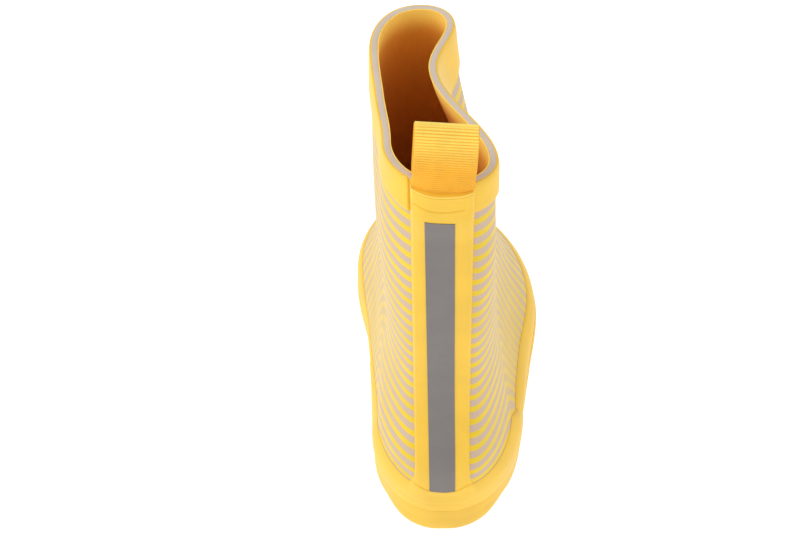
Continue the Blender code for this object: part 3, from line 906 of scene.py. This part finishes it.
def printed_material():
    """Striped leg: grey print on yellow rubber, level round the leg and in arcs down the foot."""
    made, tree, shader = new_material("striped_rubber")
    if tree is None:
        return made
    paints = colours()
    place = lay(tree, "ShaderNodeTexCoord").outputs["Object"]
    parts = lay(tree, "ShaderNodeSeparateXYZ", {0: place})
    height = work(tree, "MULTIPLY", parts.outputs["Z"], METRE)
    forward = work(tree, "MULTIPLY_ADD", parts.outputs["Y"], METRE, SHIFT[1] - ARC_CENTRE_Y)
    turn = ramp(tree, height, *ARC_FADE, 1.0, ARC_KEEP)
    gain = ramp(tree, forward, ARC_GAIN_FROM - ARC_CENTRE_Y, ARC_GAIN_TO - ARC_CENTRE_Y, 0.0, ARC_GAIN)
    reach = work(tree, "MULTIPLY", work(tree, "ADD", work(tree, "MAXIMUM", forward, 0.0), gain), turn)
    radius = work(tree, "SQRT", work(tree, "ADD", work(tree, "MULTIPLY", height, height),
                                     work(tree, "MULTIPLY", reach, reach)))
    waver = work(tree, "MULTIPLY_ADD", noise(tree, place, 260.0), PRINT_WAVER, -PRINT_WAVER / 2)
    pitch = sizes().stripe * METRE
    run = work(tree, "ADD", work(tree, "SUBTRACT", radius, STRIPE_FIRST), waver)
    turns = work(tree, "DIVIDE", run, pitch)
    share = work(tree, "FRACT", work(tree, "ADD", turns, 0.5))
    away = work(tree, "ABSOLUTE", work(tree, "SUBTRACT", share, 0.5))
    half = sizes().stripe_share / 2
    grey = ramp(tree, away, half - PRINT_EDGE, half + PRINT_EDGE, 1.0, 0.0)
    skin_look = use_grain(tree, 0.5)
    ground = mixed(tree, ramp(tree, skin_look["Cloud"], 0.3, 0.7), tint(paints.print_ground, 0.96),
                   tint(paints.print_ground, 1.03))
    ink = mixed(tree, ramp(tree, skin_look["Speck"], 0.3, 0.7), tint(paints.print_grey, 0.96),
                tint(paints.print_grey, 1.04))
    stripes = mixed(tree, grey, ground, ink)
    blend = mixed(tree, BLURRED_SHARE, ground, ink)
    for fade in PRINT_FADES:
        stripes = mixed(tree, fade_spot(tree, parts, fade), stripes, blend)
    tree.links.new(stripes, shader.inputs["Base Color"])
    tree.links.new(work(tree, "MULTIPLY_ADD", grey, 0.08, 0.46), shader.inputs["Roughness"])
    shader.inputs["Specular IOR Level"].default_value = 0.35
    bump(tree, shader, work(tree, "MULTIPLY_ADD", grey, 1.2, skin_look["Height"]), 0.5, 0.03)
    return made


def knit_material(name, colour, painted_shade, across, along):
    """Knitted cloth: small loops with painted shade in their gaps and a soft nap; painted shade darkens it
    down in the boot, and a painted glow lights it near the rim.
    """
    made, tree, shader = new_material(name)
    if tree is None:
        return made
    loops = use_weave(tree, across, along)
    place = lay(tree, "ShaderNodeTexCoord").outputs["Object"]
    height = lay(tree, "ShaderNodeSeparateXYZ", {0: place}).outputs["Z"]
    painted_rim_light = ramp(tree, height, (COLLAR_TOP - LINING_SHADE_FADE) * MILLIMETRE, COLLAR_TOP * MILLIMETRE)
    nap = use_grain(tree, 0.9, 9.0)
    # Painted shade: darker down in the boot, lighter near the rim.
    tone = mixed(tree, painted_rim_light, (*painted_shade, 1.0), (*colour, 1.0))
    cloudy = mixed(tree, ramp(tree, nap["Cloud"], 0.3, 0.7, 0.0, 0.12), tone, (*painted_shade, 1.0))
    # Painted shade in the gaps between the loops.
    tree.links.new(mixed(tree, work(tree, "MULTIPLY", loops["Gap"], 0.25), cloudy, (*painted_shade, 1.0)),
                   shader.inputs["Base Color"])
    # Painted glow: emission lights the lining near the rim.
    painted_glow = mixed(tree, painted_rim_light, (0.0, 0.0, 0.0, 1.0), (*colour, 1.0))
    tree.links.new(painted_glow, shader.inputs["Emission Color"])
    shader.inputs["Emission Strength"].default_value = LINING_PAINTED_GLOW
    shader.inputs["Roughness"].default_value = 0.95
    shader.inputs["Specular IOR Level"].default_value = 0.1
    shader.inputs["Sheen Weight"].default_value = 0.05
    relief = work(tree, "ADD", loops["Height"], work(tree, "MULTIPLY", nap["Speck"], 0.5))
    bump(tree, shader, relief, 0.5, 0.12)
    return made


def webbing_material(name, low, high):
    """Yarn of the webbing: faint beads across it with painted shade between them, and painted light that
    makes it lighter up the loop.
    """
    made, tree, shader = new_material(name)
    if tree is None:
        return made
    place = lay(tree, "ShaderNodeTexCoord").outputs["Object"]
    parts = lay(tree, "ShaderNodeSeparateXYZ", {0: place})
    # Painted light: the yarn turns from the shaded low colour to the lighter top colour up the loop.
    upward = ramp(tree, parts.outputs["Z"], WEB_PAINTED_LIGHT_FROM * MILLIMETRE, WEB_PAINTED_LIGHT_TO * MILLIMETRE)
    colour = mixed(tree, upward, (*low, 1.0), (*high, 1.0))
    turns = work(tree, "MULTIPLY", parts.outputs["X"], 2 * math.pi * METRE / BEAD_PITCH)
    beads = work(tree, "SINE", turns)
    bead = work(tree, "MULTIPLY_ADD", beads, 0.5, 0.5)
    nap = use_grain(tree, 0.35, 6.0)
    # Random clouds of tone, with painted shade between the beads.
    light = work(tree, "MULTIPLY", ramp(tree, nap["Cloud"], 0.3, 0.7, 0.97, 1.04),
                 ramp(tree, bead, 0.0, 0.6, 0.97, 1.0))
    tone = lay(tree, "ShaderNodeCombineXYZ", {0: light, 1: light, 2: light}).outputs[0]
    tree.links.new(mixed(tree, 1.0, colour, tone, "MULTIPLY"), shader.inputs["Base Color"])
    shader.inputs["Roughness"].default_value = 0.8
    shader.inputs["Specular IOR Level"].default_value = 0.2
    shader.inputs["Sheen Weight"].default_value = 0.2
    bump(tree, shader, work(tree, "ADD", bead, work(tree, "MULTIPLY", nap["Speck"], 0.4)), 0.5, 0.06)
    return made


def tape_material():
    """Reflective tape: grey cloth face under a fine grid of beads."""
    made, tree, shader = new_material("reflective_tape")
    if tree is None:
        return made
    colour = colours().tape
    weave = use_weave(tree, 0.45, 0.45)
    nap = use_grain(tree, 1.4, 7.0)
    base = mixed(tree, ramp(tree, nap["Cloud"], 0.3, 0.7), tint(colour, 0.97), tint(colour, 1.03))
    # Painted shade in the gaps of the weave.
    tree.links.new(mixed(tree, work(tree, "MULTIPLY", weave["Gap"], 0.3), base, tint(colour, 0.75)),
                   shader.inputs["Base Color"])
    tree.links.new(ramp(tree, nap["Speck"], 0.2, 0.8, 0.42, 0.6), shader.inputs["Roughness"])
    shader.inputs["Specular IOR Level"].default_value = 0.4
    bump(tree, shader, weave["Height"], 0.4, 0.06)
    return made


# Pieces

def even_arounds(count):
    """Even places round the boot."""
    return np.arange(count) / count


def wall_places(rings, girth):
    """Flat positions on a wall round the boot: along its girth and up."""
    across = np.linspace(0.0, girth, len(rings) + 1)
    height = np.concatenate((rings[0, :, 2], rings[0, :1, 2]))
    return np.stack(np.meshgrid(across, height, indexing="ij"), -1)


def ragged_edge(around):
    """Uneven height of the lining's cut edge: short waves that come and go round the collar."""
    turn = 2 * math.pi * around
    return 0.16 * np.sin(53 * turn) * np.sin(17 * turn + 1.0) + 0.1 * np.sin(91 * turn)


class BOOT_OT_upper(bpy.types.Operator):
    """Builds the printed upper, its cut rim and its knitted lining"""
    bl_idname = "boot.upper"
    bl_label = "Upper, rim and lining"

    def execute(self, context):
        core = sizes().core * METRE
        cloth = sizes().lining * METRE
        top = float(level_at(0.0, COLLAR_TOP - WALL_DROP))
        arounds = even_arounds(256)[:, None]
        outside = off_skin(np.linspace(0.0, top, 170)[None], arounds, 0.0)
        inside = off_skin(np.linspace(top, 0.0, 60)[None], arounds, -core)
        rings = np.concatenate((outside, inside), 1)
        wall = loft("upper_wall", rings, True, printed_material(), wall_places(rings, WALL_GIRTH))
        settle(wall, "upper")

        arounds = even_arounds(360)[:, None]
        low, high = COLLAR_TOP - RIM_DEPTH, COLLAR_TOP + RIM_STAND
        shape = rounded([Corner(low, RIM_OUT, 0.0), Corner(high, RIM_OUT, RIM_ROUND),
                         Corner(high, -core, RIM_ROUND), Corner(low, -core, 0.0)])
        rings = off_skin(1.0, arounds, shape[None, :, 1])
        rings[..., 2] = shape[None, :, 0]
        rubber = rubber_material("cut_rubber", colours().core, 0.35, 0.08, 0.75)
        settle(loft("cut_rim", rings, True, rubber), "upper")

        levels = np.linspace(LINING_FOOT, 1.0, 120)
        inside = off_skin(levels[::-1][None], arounds, -core - cloth)
        outside = off_skin(levels[None], arounds, -core - HAIR)
        crown = off_skin(1.0, arounds, -core - cloth / 2)
        crown[..., 2] += LINING_STAND + LINING_RAG * ragged_edge(arounds)
        rings = np.concatenate((outside, crown, inside), 1)
        knit = knit_material("lining_knit", colours().lining, colours().lining_painted_shade, 0.7, 0.7)
        settle(loft("knit_lining", rings, True, knit, wall_places(rings, LINING_GIRTH)), "upper")
        return {"FINISHED"}


class BOOT_OT_collar(bpy.types.Operator):
    """Builds the plain rubber band round the collar"""
    bl_idname = "boot.collar"
    bl_label = "Collar band"

    def execute(self, context):
        arounds = np.unique(np.concatenate((even_arounds(300), np.linspace(*SEAM_STATIONS))))[:, None]
        low = np.full(arounds.shape, BAND_BOTTOM)
        for dip in BAND_DIPS:
            low -= dip.drop * np.exp(-((arounds - dip.around) / dip.reach) ** 2)
        shape = filled(rounded(BAND_OUTLINE), longest=0.6)
        heights = low + (COLLAR_TOP - low) * shape[None, :, 0] / BAND_TALL
        rings = wall_point(arounds, heights, shape[None, :, 1])
        away = rings[..., 0] - (strip_centre(rings[..., 2]) - STRIP_HALF - SEAM_GAP)
        seam = SEAM_DEPTH * np.exp(-(away / SEAM_HALF) ** 2) * (rings[..., 1] < SEAM_WITHIN)
        rings = wall_point(arounds, heights, np.maximum(shape[None, :, 1] - seam, -HAIR))
        rubber = rubber_material("band_rubber", colours().plain, 0.6, 0.04, 0.45)
        band = loft("collar_band_rubber", rings, True, rubber)
        settle(band, "collar_band")
        return {"FINISHED"}


def strip_centre(height):
    """x of the strip's middle at a height."""
    share = (height - STRIP_BOTTOM) / (STRIP_TOP - STRIP_BOTTOM)
    return STRIP_SHIFT_LOW + (STRIP_SHIFT_HIGH - STRIP_SHIFT_LOW) * share


def band_under(height):
    """How far the collar band stands off the skin at a height."""
    return BAND_OUT * smooth((height - BAND_BOTTOM + BAND_STEP) / (2 * BAND_STEP))


def strip_curve(spread):
    """How far the strip's hanging top edge lies off its mean height."""
    return STRIP_CURVE * (spread ** 2 - STRIP_CURVE_MIDDLE)


def strip_face(height, spread):
    """Distance of the strip's outer face from the skin: it climbs over the band and the webbing's end."""
    rise = STRIP_RISE * smooth((height - STRIP_RISE_FROM) / (STRIP_RISE_TO - STRIP_RISE_FROM))
    above = height - WEB_END - WEB_END_CURVE * spread ** 2
    left = smooth((spread + WEB_LINE_LEFT) / WEB_LINE_LEFT_SOFT)
    right = smooth((WEB_LINE_RIGHT - spread) / WEB_LINE_RIGHT_SOFT)
    line = WEB_LINE_DEPTH * np.exp(-(above / WEB_LINE_HALF) ** 2) * left * right
    crown = STRIP_CROWN * (1 - spread ** 2)
    return STRIP_THICK + crown + rise + WEB_END_STEP * smooth(above / WEB_END_SOFT) - line


class BOOT_OT_back(bpy.types.Operator):
    """Builds the strip over the back seam and the reflective tape on it"""
    bl_idname = "boot.back"
    bl_label = "Back strip and tape"

    def execute(self, context):
        heights = np.concatenate((np.linspace(STRIP_BOTTOM, STRIP_FINE_FROM, 90),
                                  np.linspace(STRIP_FINE_FROM, STRIP_TOP, 70),
                                  np.linspace(WEB_END - WEB_END_BELOW, WEB_END + WEB_END_ABOVE, 60)))
        heights = np.unique(heights)[:, None]
        spread = np.linspace(-1.0, 1.0, 81)[None]
        flare = STRIP_FLARE * np.exp(-np.maximum(heights - STRIP_FLARE_FROM, 0.0) / STRIP_FLARE_REACH)
        half = STRIP_HALF + flare
        across = strip_centre(heights) + half * spread
        edge = np.sin(np.clip(half * (1 - np.abs(spread)) / STRIP_EDGE, 0.0, 1.0) * math.pi / 2)
        under = band_under(heights) - STRIP_SINK
        down = STRIP_TOP - heights
        lip = STRIP_LIP * np.exp(-((down - STRIP_LIP_DOWN) / STRIP_LIP_REACH) ** 2)
        face = under + (strip_face(heights, spread) + lip - under) * edge
        top = TOP_KEEP + (1 - TOP_KEEP) * np.sqrt(np.clip(down / TOP_ROUND, TOP_START, 1.0))
        face = under + (face - under) * top
        curve = strip_curve(spread) * smooth((heights - STRIP_CURVE_FROM) / STRIP_CURVE_OVER)
        outside = back_point(heights + curve, across, face)
        inside = back_point(heights + curve, across, under - STRIP_BACK)
        rings = np.concatenate((outside, inside[:, ::-1]), 1)
        strip = loft("back_strip_rubber", rings, False,
                     rubber_material("strip_rubber", colours().plain, 0.7, 0.04, 0.45))
        settle(strip, "back_strip")

        spread = np.linspace(LIP_START, LIP_END, 60)[:, None]
        turn = np.linspace(0.0, 2 * math.pi, 9)[None, :-1]
        heights = STRIP_TOP - LIP_DOWN + strip_curve(spread) + LIP_RADIUS * np.sin(turn)
        across = strip_centre(STRIP_TOP) + STRIP_HALF * spread
        ease = smooth((1 - np.abs(spread)) / LIP_EASE)
        over = strip_face(STRIP_TOP, spread) - BAND_OUT - LIP_SINK
        rings = back_point(heights, across, BAND_OUT + over * ease + LIP_RADIUS * np.cos(turn))
        # Painted highlight: the lip is made in lighter rubber.
        rubber = rubber_material("lip_highlight_rubber", colours().lip, 0.5, 0.02, 0.4)
        settle(loft("strip_lip", rings, False, rubber), "back_strip")

        width = sizes().tape * METRE
        spread = np.linspace(-1.0, 1.0, 25)[None]
        share = np.linspace(0.0, 1.0, 130)[:, None]
        low = STRIP_BOTTOM + TAPE_START + TAPE_CURVE * spread ** 2
        high = TAPE_TOP - TAPE_SLANT * width / 2 * spread
        heights = low + (high - low) * share
        across = TAPE_SHIFT_LOW + TAPE_DRIFT * (heights - STRIP_BOTTOM) + width / 2 * spread
        face = strip_face(heights, (across - strip_centre(heights)) / STRIP_HALF)
        outside = back_point(heights, across, face + TAPE_THICK)
        inside = back_point(heights, across, face - TAPE_SINK)
        rings = np.concatenate((outside, inside[:, ::-1]), 1)
        flat = np.stack((np.broadcast_to(width / 2 * spread, heights.shape), heights), -1)
        flat = np.concatenate((flat, flat[:, ::-1], flat[:, :1]), 1)
        tape = loft("reflective_tape", rings, False, tape_material(), flat, sharp=30.0)
        settle(tape, "back_strip")
        return {"FINISHED"}


def web_section(out, height, columns):
    """Points across the webbing: it follows the back's curve at the rim and is straight across at the top."""
    centre = back_point(COLLAR_TOP, WEB_SHIFT, 0.0)
    x = WEB_SHIFT + columns * WEB_WIDTH / 2
    straight = smooth((height - WEB_STRAIGHT_FROM) / WEB_STRAIGHT_OVER)
    curved = back_point(np.minimum(height, COLLAR_TOP), x, out)
    flat_y = centre[1] + WEB_SET_IN - (x - WEB_SHIFT) * WEB_TURN - out
    lean = WEB_LEAN * np.clip((height - WEB_LEAN_FROM) / WEB_LEAN_OVER, 0.0, 1.0)
    return np.stack((curved[..., 0] + (x - curved[..., 0]) * straight + lean,
                     curved[..., 1] + (flat_y - curved[..., 1]) * straight,
                     np.broadcast_to(height, curved[..., 0].shape)), -1)


def web_path(count):
    """Even places along the webbing: distance off the skin, height, and the direction square to the face."""
    fine = cubic(WEB_PATH, np.linspace(0.0, len(WEB_PATH) - 1, 2000))
    length = run_length(fine)
    even = np.linspace(0.0, length[-1], count)
    path = np.stack([np.interp(even, length, fine[:, i]) for i in range(2)], -1)
    way = np.gradient(path, axis=0)
    way /= np.linalg.norm(way, axis=-1, keepdims=True)
    return path, np.stack((way[:, 1], -way[:, 0]), -1), length[-1]


def rib_tree(material):
    """Geometry nodes that lay a round rib of yarn along each row of points."""
    tree = bpy.data.node_groups.new("webbing_ribs", "GeometryNodeTree")
    tree.interface.new_socket("Rows", in_out="INPUT", socket_type="NodeSocketGeometry")
    tree.interface.new_socket("Rib Radius", in_out="INPUT", socket_type="NodeSocketFloat")
    tree.interface.new_socket("Rib Sides", in_out="INPUT", socket_type="NodeSocketInt")
    tree.interface.new_socket("Ribs", in_out="OUTPUT", socket_type="NodeSocketGeometry")
    given = lay(tree, "NodeGroupInput")
    rows = lay(tree, "GeometryNodeMeshToCurve", {"Mesh": given.outputs["Rows"]})
    round_yarn = lay(tree, "GeometryNodeCurvePrimitiveCircle", {"Resolution": given.outputs["Rib Sides"],
                                                                "Radius": given.outputs["Rib Radius"]})
    ribs = lay(tree, "GeometryNodeCurveToMesh", {"Curve": rows.outputs["Curve"],
                                                 "Profile Curve": round_yarn.outputs["Curve"],
                                                 "Fill Caps": True})
    shaded = lay(tree, "GeometryNodeSetShadeSmooth", {"Geometry": ribs.outputs["Mesh"]})
    real = lay(tree, "GeometryNodeRealizeInstances", {"Geometry": shaded.outputs["Geometry"]})
    dyed = lay(tree, "GeometryNodeSetMaterial", {"Geometry": real.outputs["Geometry"], "Material": material})
    lay(tree, "NodeGroupOutput", {"Ribs": dyed.outputs["Geometry"]})
    return tree


class BOOT_OT_loop(bpy.types.Operator):
    """Builds the webbing of the pull loop and its ribs"""
    bl_idname = "boot.loop"
    bl_label = "Pull loop"

    def execute(self, context):
        columns = np.linspace(-1.0, 1.0, 33)[None]
        path, square, length = web_path(150)
        thin = np.clip((np.abs(columns) - SELVEDGE_FROM) / (1 - SELVEDGE_FROM), 0.0, 1.0)
        selvedge = WEB_THICK / 2 * np.sqrt(1 - SELVEDGE_THIN * thin ** 2)
        faces = []
        for sign in (1, -1):
            shift = square[:, None] * selvedge[..., None] * sign
            place = path[:, None] + shift
            faces.append(web_section(place[..., 0], place[..., 1], columns))
        rings = np.concatenate((faces[0], faces[1][:, ::-1]), 1)
        shades = colours()
        # The ground's colour holds painted shade in the grooves between the ribs.
        ground = webbing_material("loop_ground", shades.webbing_ground_shade, shades.webbing_ground_shade)
        web = loft("pull_loop_web", rings, False, ground)
        settle(web, "pull_loop")

        pitch = sizes().rib * METRE
        count = int(length / pitch)
        path, square, _ = web_path(count)
        columns = np.linspace(-RIB_REACH, RIB_REACH, 25)[None]
        radius = pitch * RIB_RADIUS
        rows = []
        for sign in (1, -1):
            place = path[:, None] + square[:, None] * (WEB_THICK / 2 - radius * RIB_SINK) * sign
            place = np.broadcast_to(place, (count, columns.size, 2))
            rows.append(web_section(place[..., 0], place[..., 1], columns))
        rows = np.concatenate(rows, 0)
        points = (rows.reshape(-1, 3) - SHIFT) * MILLIMETRE
        index = np.arange(len(points)).reshape(rows.shape[:2])
        edges = np.stack((index[:, :-1], index[:, 1:]), -1).reshape(-1, 2)
        mesh = bpy.data.meshes.new("rib_rows")
        mesh.from_pydata(points.tolist(), edges.tolist(), [])
        carrier = show(bpy.data.objects.new("rib_rows", mesh))
        # The ribs carry the painted light and shade up the loop.
        tree = rib_tree(webbing_material("loop_yarn", shades.webbing_painted_shade, shades.webbing))
        modifier = carrier.modifiers.new("ribs", "NODES")
        modifier.node_group = tree
        values = {"Rib Radius": radius * MILLIMETRE, "Rib Sides": RIB_SIDES}
        for item in tree.interface.items_tree:
            if item.name in values:
                modifier[item.identifier] = values[item.name]
        ribs = bpy.data.meshes.new_from_object(carrier.evaluated_get(context.evaluated_depsgraph_get()))
        bpy.data.objects.remove(carrier)
        piece = show(bpy.data.objects.new("pull_loop_ribs", ribs))
        settle(piece, "pull_loop")
        return {"FINISHED"}


def side_swell(point):
    """How much further the bands and the sole stand out at a point of the feather line."""
    along = (point[..., 1] - SWELL_Y) / SWELL_REACH
    return SWELL_OUT * np.exp(-along ** 2) * smooth(point[..., 0] / SWELL_FROM)


def strip_spread(arounds):
    """Places across the foot of the back strip, in half widths from its middle."""
    return (skin(0.0, arounds)[..., 0] - strip_centre(STRIP_BOTTOM)) / STRIP_HALF


def counter_stretch(arounds):
    """Height of the counter against its height at the back."""
    point = skin(0.0, arounds)
    y = point[..., 1]
    outer = point[..., 0] > 0.0
    step = np.where(outer, STEP_OUTER, STEP_INNER)
    fall = np.where(outer, COUNTER_FALL_OUTER, COUNTER_FALL_INNER)
    side = np.where(outer, COUNTER_RISE_OUTER, COUNTER_RISE_INNER)
    rise = 1 + (side - 1) * smooth(np.abs(point[..., 0]) / COUNTER_RISE_BY)
    spread = np.abs(strip_spread(arounds))
    climb = smooth((spread - COVER_RISE_FROM) / COVER_RISE_OVER) * smooth((COVER_END - spread) / COVER_EDGE)
    rise += COVER_RISE * climb
    return COUNTER_END + (rise - COUNTER_END) * smooth((step - y) / fall)


def foxing_stretch(arounds):
    """Height of the foxing against its height at the waist."""
    y = skin(0.0, arounds)[..., 1]
    return 1 + FOXING_RISE * smooth((y - FOXING_RISE_FROM) / FOXING_RISE_OVER)


def strip_cover(arounds):
    """How much further the counter's top edge stands out where it is laid over the strip's foot."""
    spread = strip_spread(arounds)
    covered = smooth((COVER_END - np.abs(spread)) / COVER_EDGE)
    return (strip_face(STRIP_BOTTOM, spread) + COVER_GAP) * covered


def feather_band(name, arounds, corners, stretch, material, cover=0.0):
    """Band on the skin above the feather line along places round the boot."""
    shape = filled(rounded(corners), longest=0.8)
    feather = skin(0.0, arounds)
    out = shape[None, :, 1]
    top = np.clip(out / COVER_LEDGE, 0.0, 1.0) * (1 - smooth(out / COVER_FULL))
    out = out + side_swell(feather) * np.clip(out / SWELL_FULL, 0.0, 1.0) + cover * top
    rings = wall_point(arounds, feather[..., 2] + shape[None, :, 0] * stretch, out)
    return loft(name, rings, False, material)


class BOOT_OT_bands(bpy.types.Operator):
    """Builds the foxing round the foot and the taller counter round the heel"""
    bl_idname = "boot.bands"
    bl_label = "Foxing and heel counter"

    def execute(self, context):
        outer, inner = around_at_y(True, STEP_OUTER), around_at_y(False, STEP_INNER)
        rubber = rubber_material("foxing_rubber", colours().foxing, 0.6, 0.05, 0.47)
        arounds = np.linspace(outer, inner, 320)[:, None]
        foxing = feather_band("foxing_rubber", arounds, FOXING_OUTLINE, foxing_stretch(arounds), rubber)
        settle(foxing, "foxing")
        arounds = np.linspace(inner - 1.0, outer, 300)[:, None]
        counter = feather_band("heel_counter_rubber", arounds, COUNTER_OUTLINE, counter_stretch(arounds),
                               rubber, strip_cover(arounds))
        settle(counter, "heel_counter")
        return {"FINISHED"}


def feather_height(y):
    """Height of the feather line along the foot."""
    row = SECTIONS[0]
    t = np.maximum((y - row.y_back) / (row.y_front - row.y_back), 0.0)
    return row.z_back + (row.z_front - row.z_back) * t ** 3


def sole_edge(outer, heel, toe, back, swell):
    """Feather line moved out by a distance at heel and toe and more at the back: y and x, heel to toe."""
    turn = np.linspace(0.0, 0.5, 900)
    around = turn if outer else 1.0 - turn
    feather = skin(0.0, around)
    y = feather[..., 1]
    forward = smooth((y - WIDEN_FROM) / WIDEN_OVER)
    rear = smooth(1 - (y - SECTIONS[0].y_back) / SOLE_BACK_OVER)
    reach = heel + (toe - heel) * forward + back * rear + swell * side_swell(feather)
    point = off_skin(0.0, around, reach)
    order = np.argsort(point[:, 1])
    return point[order, 1], point[order, 0]


def foot_plan(share, heel, toe, back=0.0, swell=0.0):
    """y, middle and half width of a moved feather line at shares of its length."""
    edges = [sole_edge(outer, heel, toe, back, swell) for outer in (True, False)]
    start = max(edge[0][0] for edge in edges) + END_TRIM
    end = min(edge[0][-1] for edge in edges) - END_TRIM
    y = start + (end - start) * share
    right, left = [np.interp(y, *edge) for edge in edges]
    return y, (left + right) / 2, (right - left) / 2


def sole_floor(y):
    """Height of the underside's bars: on the floor, and lifted at the toe."""
    return SPRING_LIFT * (np.maximum(y - SPRING_START, 0.0) / (SPRING_END - SPRING_START)) ** 2


def tread_relief(y):
    """How far the underside lies above the floor line: nothing on a bar, a groove between two."""
    relief = np.full_like(y, BAR_RELIEF)
    relief = np.where((y > BARS[HEEL_BARS - 1].end) & (y < BARS[HEEL_BARS].start), ARCH_LIFT, relief)
    for bar in BARS:
        inside = np.minimum(y - bar.start, bar.end - y)
        relief = np.where(inside > 0.0, relief * (1 - smooth(inside / BAR_DRAFT)), relief)
    return relief


def foot_shares(count):
    """Shares of the foot's length that crowd together at both ends."""
    return (1 - np.cos(np.linspace(0.0, math.pi, count)))[:, None] / 2


class BOOT_OT_sole(bpy.types.Operator):
    """Builds the moulded sole with its tread and the insole on it"""
    bl_idname = "boot.sole"
    bl_label = "Sole and insole"

    def execute(self, context):
        share = np.unique(np.concatenate((foot_shares(160).ravel(), np.linspace(0.01, 0.99, 420))))[:, None]
        right, left = [], []
        for row in SOLE_SIDE:
            y, middle, half = foot_plan(share, row.heel, row.toe, row.back, 1.0)
            top = feather_height(y) - HAIR
            tread = smooth((row.down - TREAD_FROM) / (1 - TREAD_FROM))
            z = top + (sole_floor(y) - top) * row.down + tread_relief(y) * tread
            right.append(np.concatenate((middle + half, y, z), -1))
            left.append(np.concatenate((middle - half, y, z), -1))
        under = []
        for across in np.linspace(0.95, -0.95, 33):
            under.append(np.concatenate((middle + half * across, y, z), -1))
        rings = np.stack(right + under + left[::-1], 1)
        rubber = rubber_material("tread_rubber", colours().sole, 0.8, 0.07, 0.52)
        sole = loft("moulded_sole", rings, False, rubber, rungs=len(SOLE_SIDE) - 2)
        settle(sole, "outsole")

        margin = -WALL - INSOLE_MARGIN
        y, middle, half = foot_plan(foot_shares(150), margin, margin)
        low = feather_height(y)
        spread = np.linspace(-0.96, 0.96, 41)[None]
        edge = INSOLE_EDGE * (spread ** 4 - 1)
        cup = CUP_DEPTH * np.exp(-((y - CUP_Y) / CUP_REACH) ** 2) * (1 - spread ** 2)
        z = low + INSOLE_THICK + edge - cup
        rows = [np.stack((middle + half * spread, np.broadcast_to(y, z.shape), z), -1)]
        for side, high in ((1, INSOLE_SIDE), (1, INSOLE_GAP), (-1, INSOLE_GAP), (-1, INSOLE_SIDE)):
            rows.append(np.stack((middle + half * side, y, low + high), -1))
        rings = np.concatenate(rows, 1)
        flat = np.concatenate((rings[..., :2], rings[:, :1, :2]), 1)
        knit = knit_material("footbed_knit", colours().footbed, colours().footbed, 1.0, 0.9)
        insole = loft("insole_footbed", rings, False, knit, flat)
        settle(insole, "insole")
        return {"FINISHED"}


class BOOT_OT_stage(bpy.types.Operator):
    """Sets the pale floor, the soft studio light and the camera"""
    bl_idname = "boot.stage"
    bl_label = "Stage"

    def execute(self, context):
        scene = context.scene
        mesh = bpy.data.meshes.new("studio_floor")
        form = bmesh.new()
        bmesh.ops.create_grid(form, x_segments=8, y_segments=8, size=FLOOR_HALF)
        form.to_mesh(mesh)
        form.free()
        made, tree, shader = new_material("studio_floor")
        shade = noise(tree, lay(tree, "ShaderNodeTexCoord").outputs["Object"], 3.0)
        tree.links.new(mixed(tree, shade, tint(colours().floor, 0.995), tint(colours().floor, 1.0)),
                       shader.inputs["Base Color"])
        shader.inputs["Roughness"].default_value = 0.9
        shader.inputs["Specular IOR Level"].default_value = 0.0
        shader.inputs["Emission Color"].default_value = (1.0, 1.0, 1.0, 1.0)
        shader.inputs["Emission Strength"].default_value = FLOOR_GLOW
        mesh.materials.append(made)
        show(bpy.data.objects.new("studio_floor", mesh))

        world = bpy.data.worlds.new("studio_dome")
        world.use_nodes = True
        world.node_tree.nodes["Background"].inputs["Color"].default_value = (1.0, 1.0, 1.0, 1.0)
        world.node_tree.nodes["Background"].inputs["Strength"].default_value = DOME_LIGHT
        scene.world = world

        target = Vector(LAMP_TARGET)
        for lamp in LAMPS:
            light = bpy.data.lights.new(lamp.name, "AREA")
            light.energy = lamp.power
            light.size = lamp.size
            panel = show(bpy.data.objects.new(lamp.name, light))
            panel.location = lamp.place
            panel.rotation_euler = (target - Vector(lamp.place)).to_track_quat("-Z", "Y").to_euler()

        lens = bpy.data.cameras.new("photo_camera")
        lens.sensor_width = CAMERA_SENSOR
        lens.lens = CAMERA_LENS
        camera = show(bpy.data.objects.new("photo_camera", lens))
        camera.location = (np.array(CAMERA_PLACE) - SHIFT) * MILLIMETRE
        camera.rotation_euler = (math.radians(90.0 - CAMERA_DOWN), 0.0, 0.0)
        scene.camera = camera
        scene.view_settings.view_transform = "Standard"
        return {"FINISHED"}


class BOOT_PT_panel(bpy.types.Panel):
    """Lists the boot's pieces with their sizes and colours"""
    bl_label = "Rubber boot"
    bl_idname = "BOOT_PT_panel"
    bl_space_type = "VIEW_3D"
    bl_region_type = "UI"
    bl_category = "Boot"

    def draw(self, context):
        column = self.layout.column(align=True)
        for operator in OPERATORS:
            column.operator(operator.bl_idname)
        for group in (context.scene.boot_sizes, context.scene.boot_colours):
            column.separator()
            for name in group.__annotations__:
                column.prop(group, name)


OPERATORS = (BOOT_OT_stage, BOOT_OT_upper, BOOT_OT_collar, BOOT_OT_back, BOOT_OT_loop, BOOT_OT_bands,
             BOOT_OT_sole)
CLASSES = (BootSizes, BootColours, *OPERATORS, BOOT_PT_panel)


def register():
    for item in CLASSES:
        bpy.utils.register_class(item)
    bpy.types.Scene.boot_sizes = bpy.props.PointerProperty(type=BootSizes)
    bpy.types.Scene.boot_colours = bpy.props.PointerProperty(type=BootColours)


def unregister():
    del bpy.types.Scene.boot_colours
    del bpy.types.Scene.boot_sizes
    for item in reversed(CLASSES):
        bpy.utils.unregister_class(item)


def main():
    """Builds the boot."""
    register()
    bpy.ops.boot.stage()
    bpy.ops.boot.upper()
    bpy.ops.boot.collar()
    bpy.ops.boot.back()
    bpy.ops.boot.loop()
    bpy.ops.boot.bands()
    bpy.ops.boot.sole()


if __name__ == "__main__":
    main()
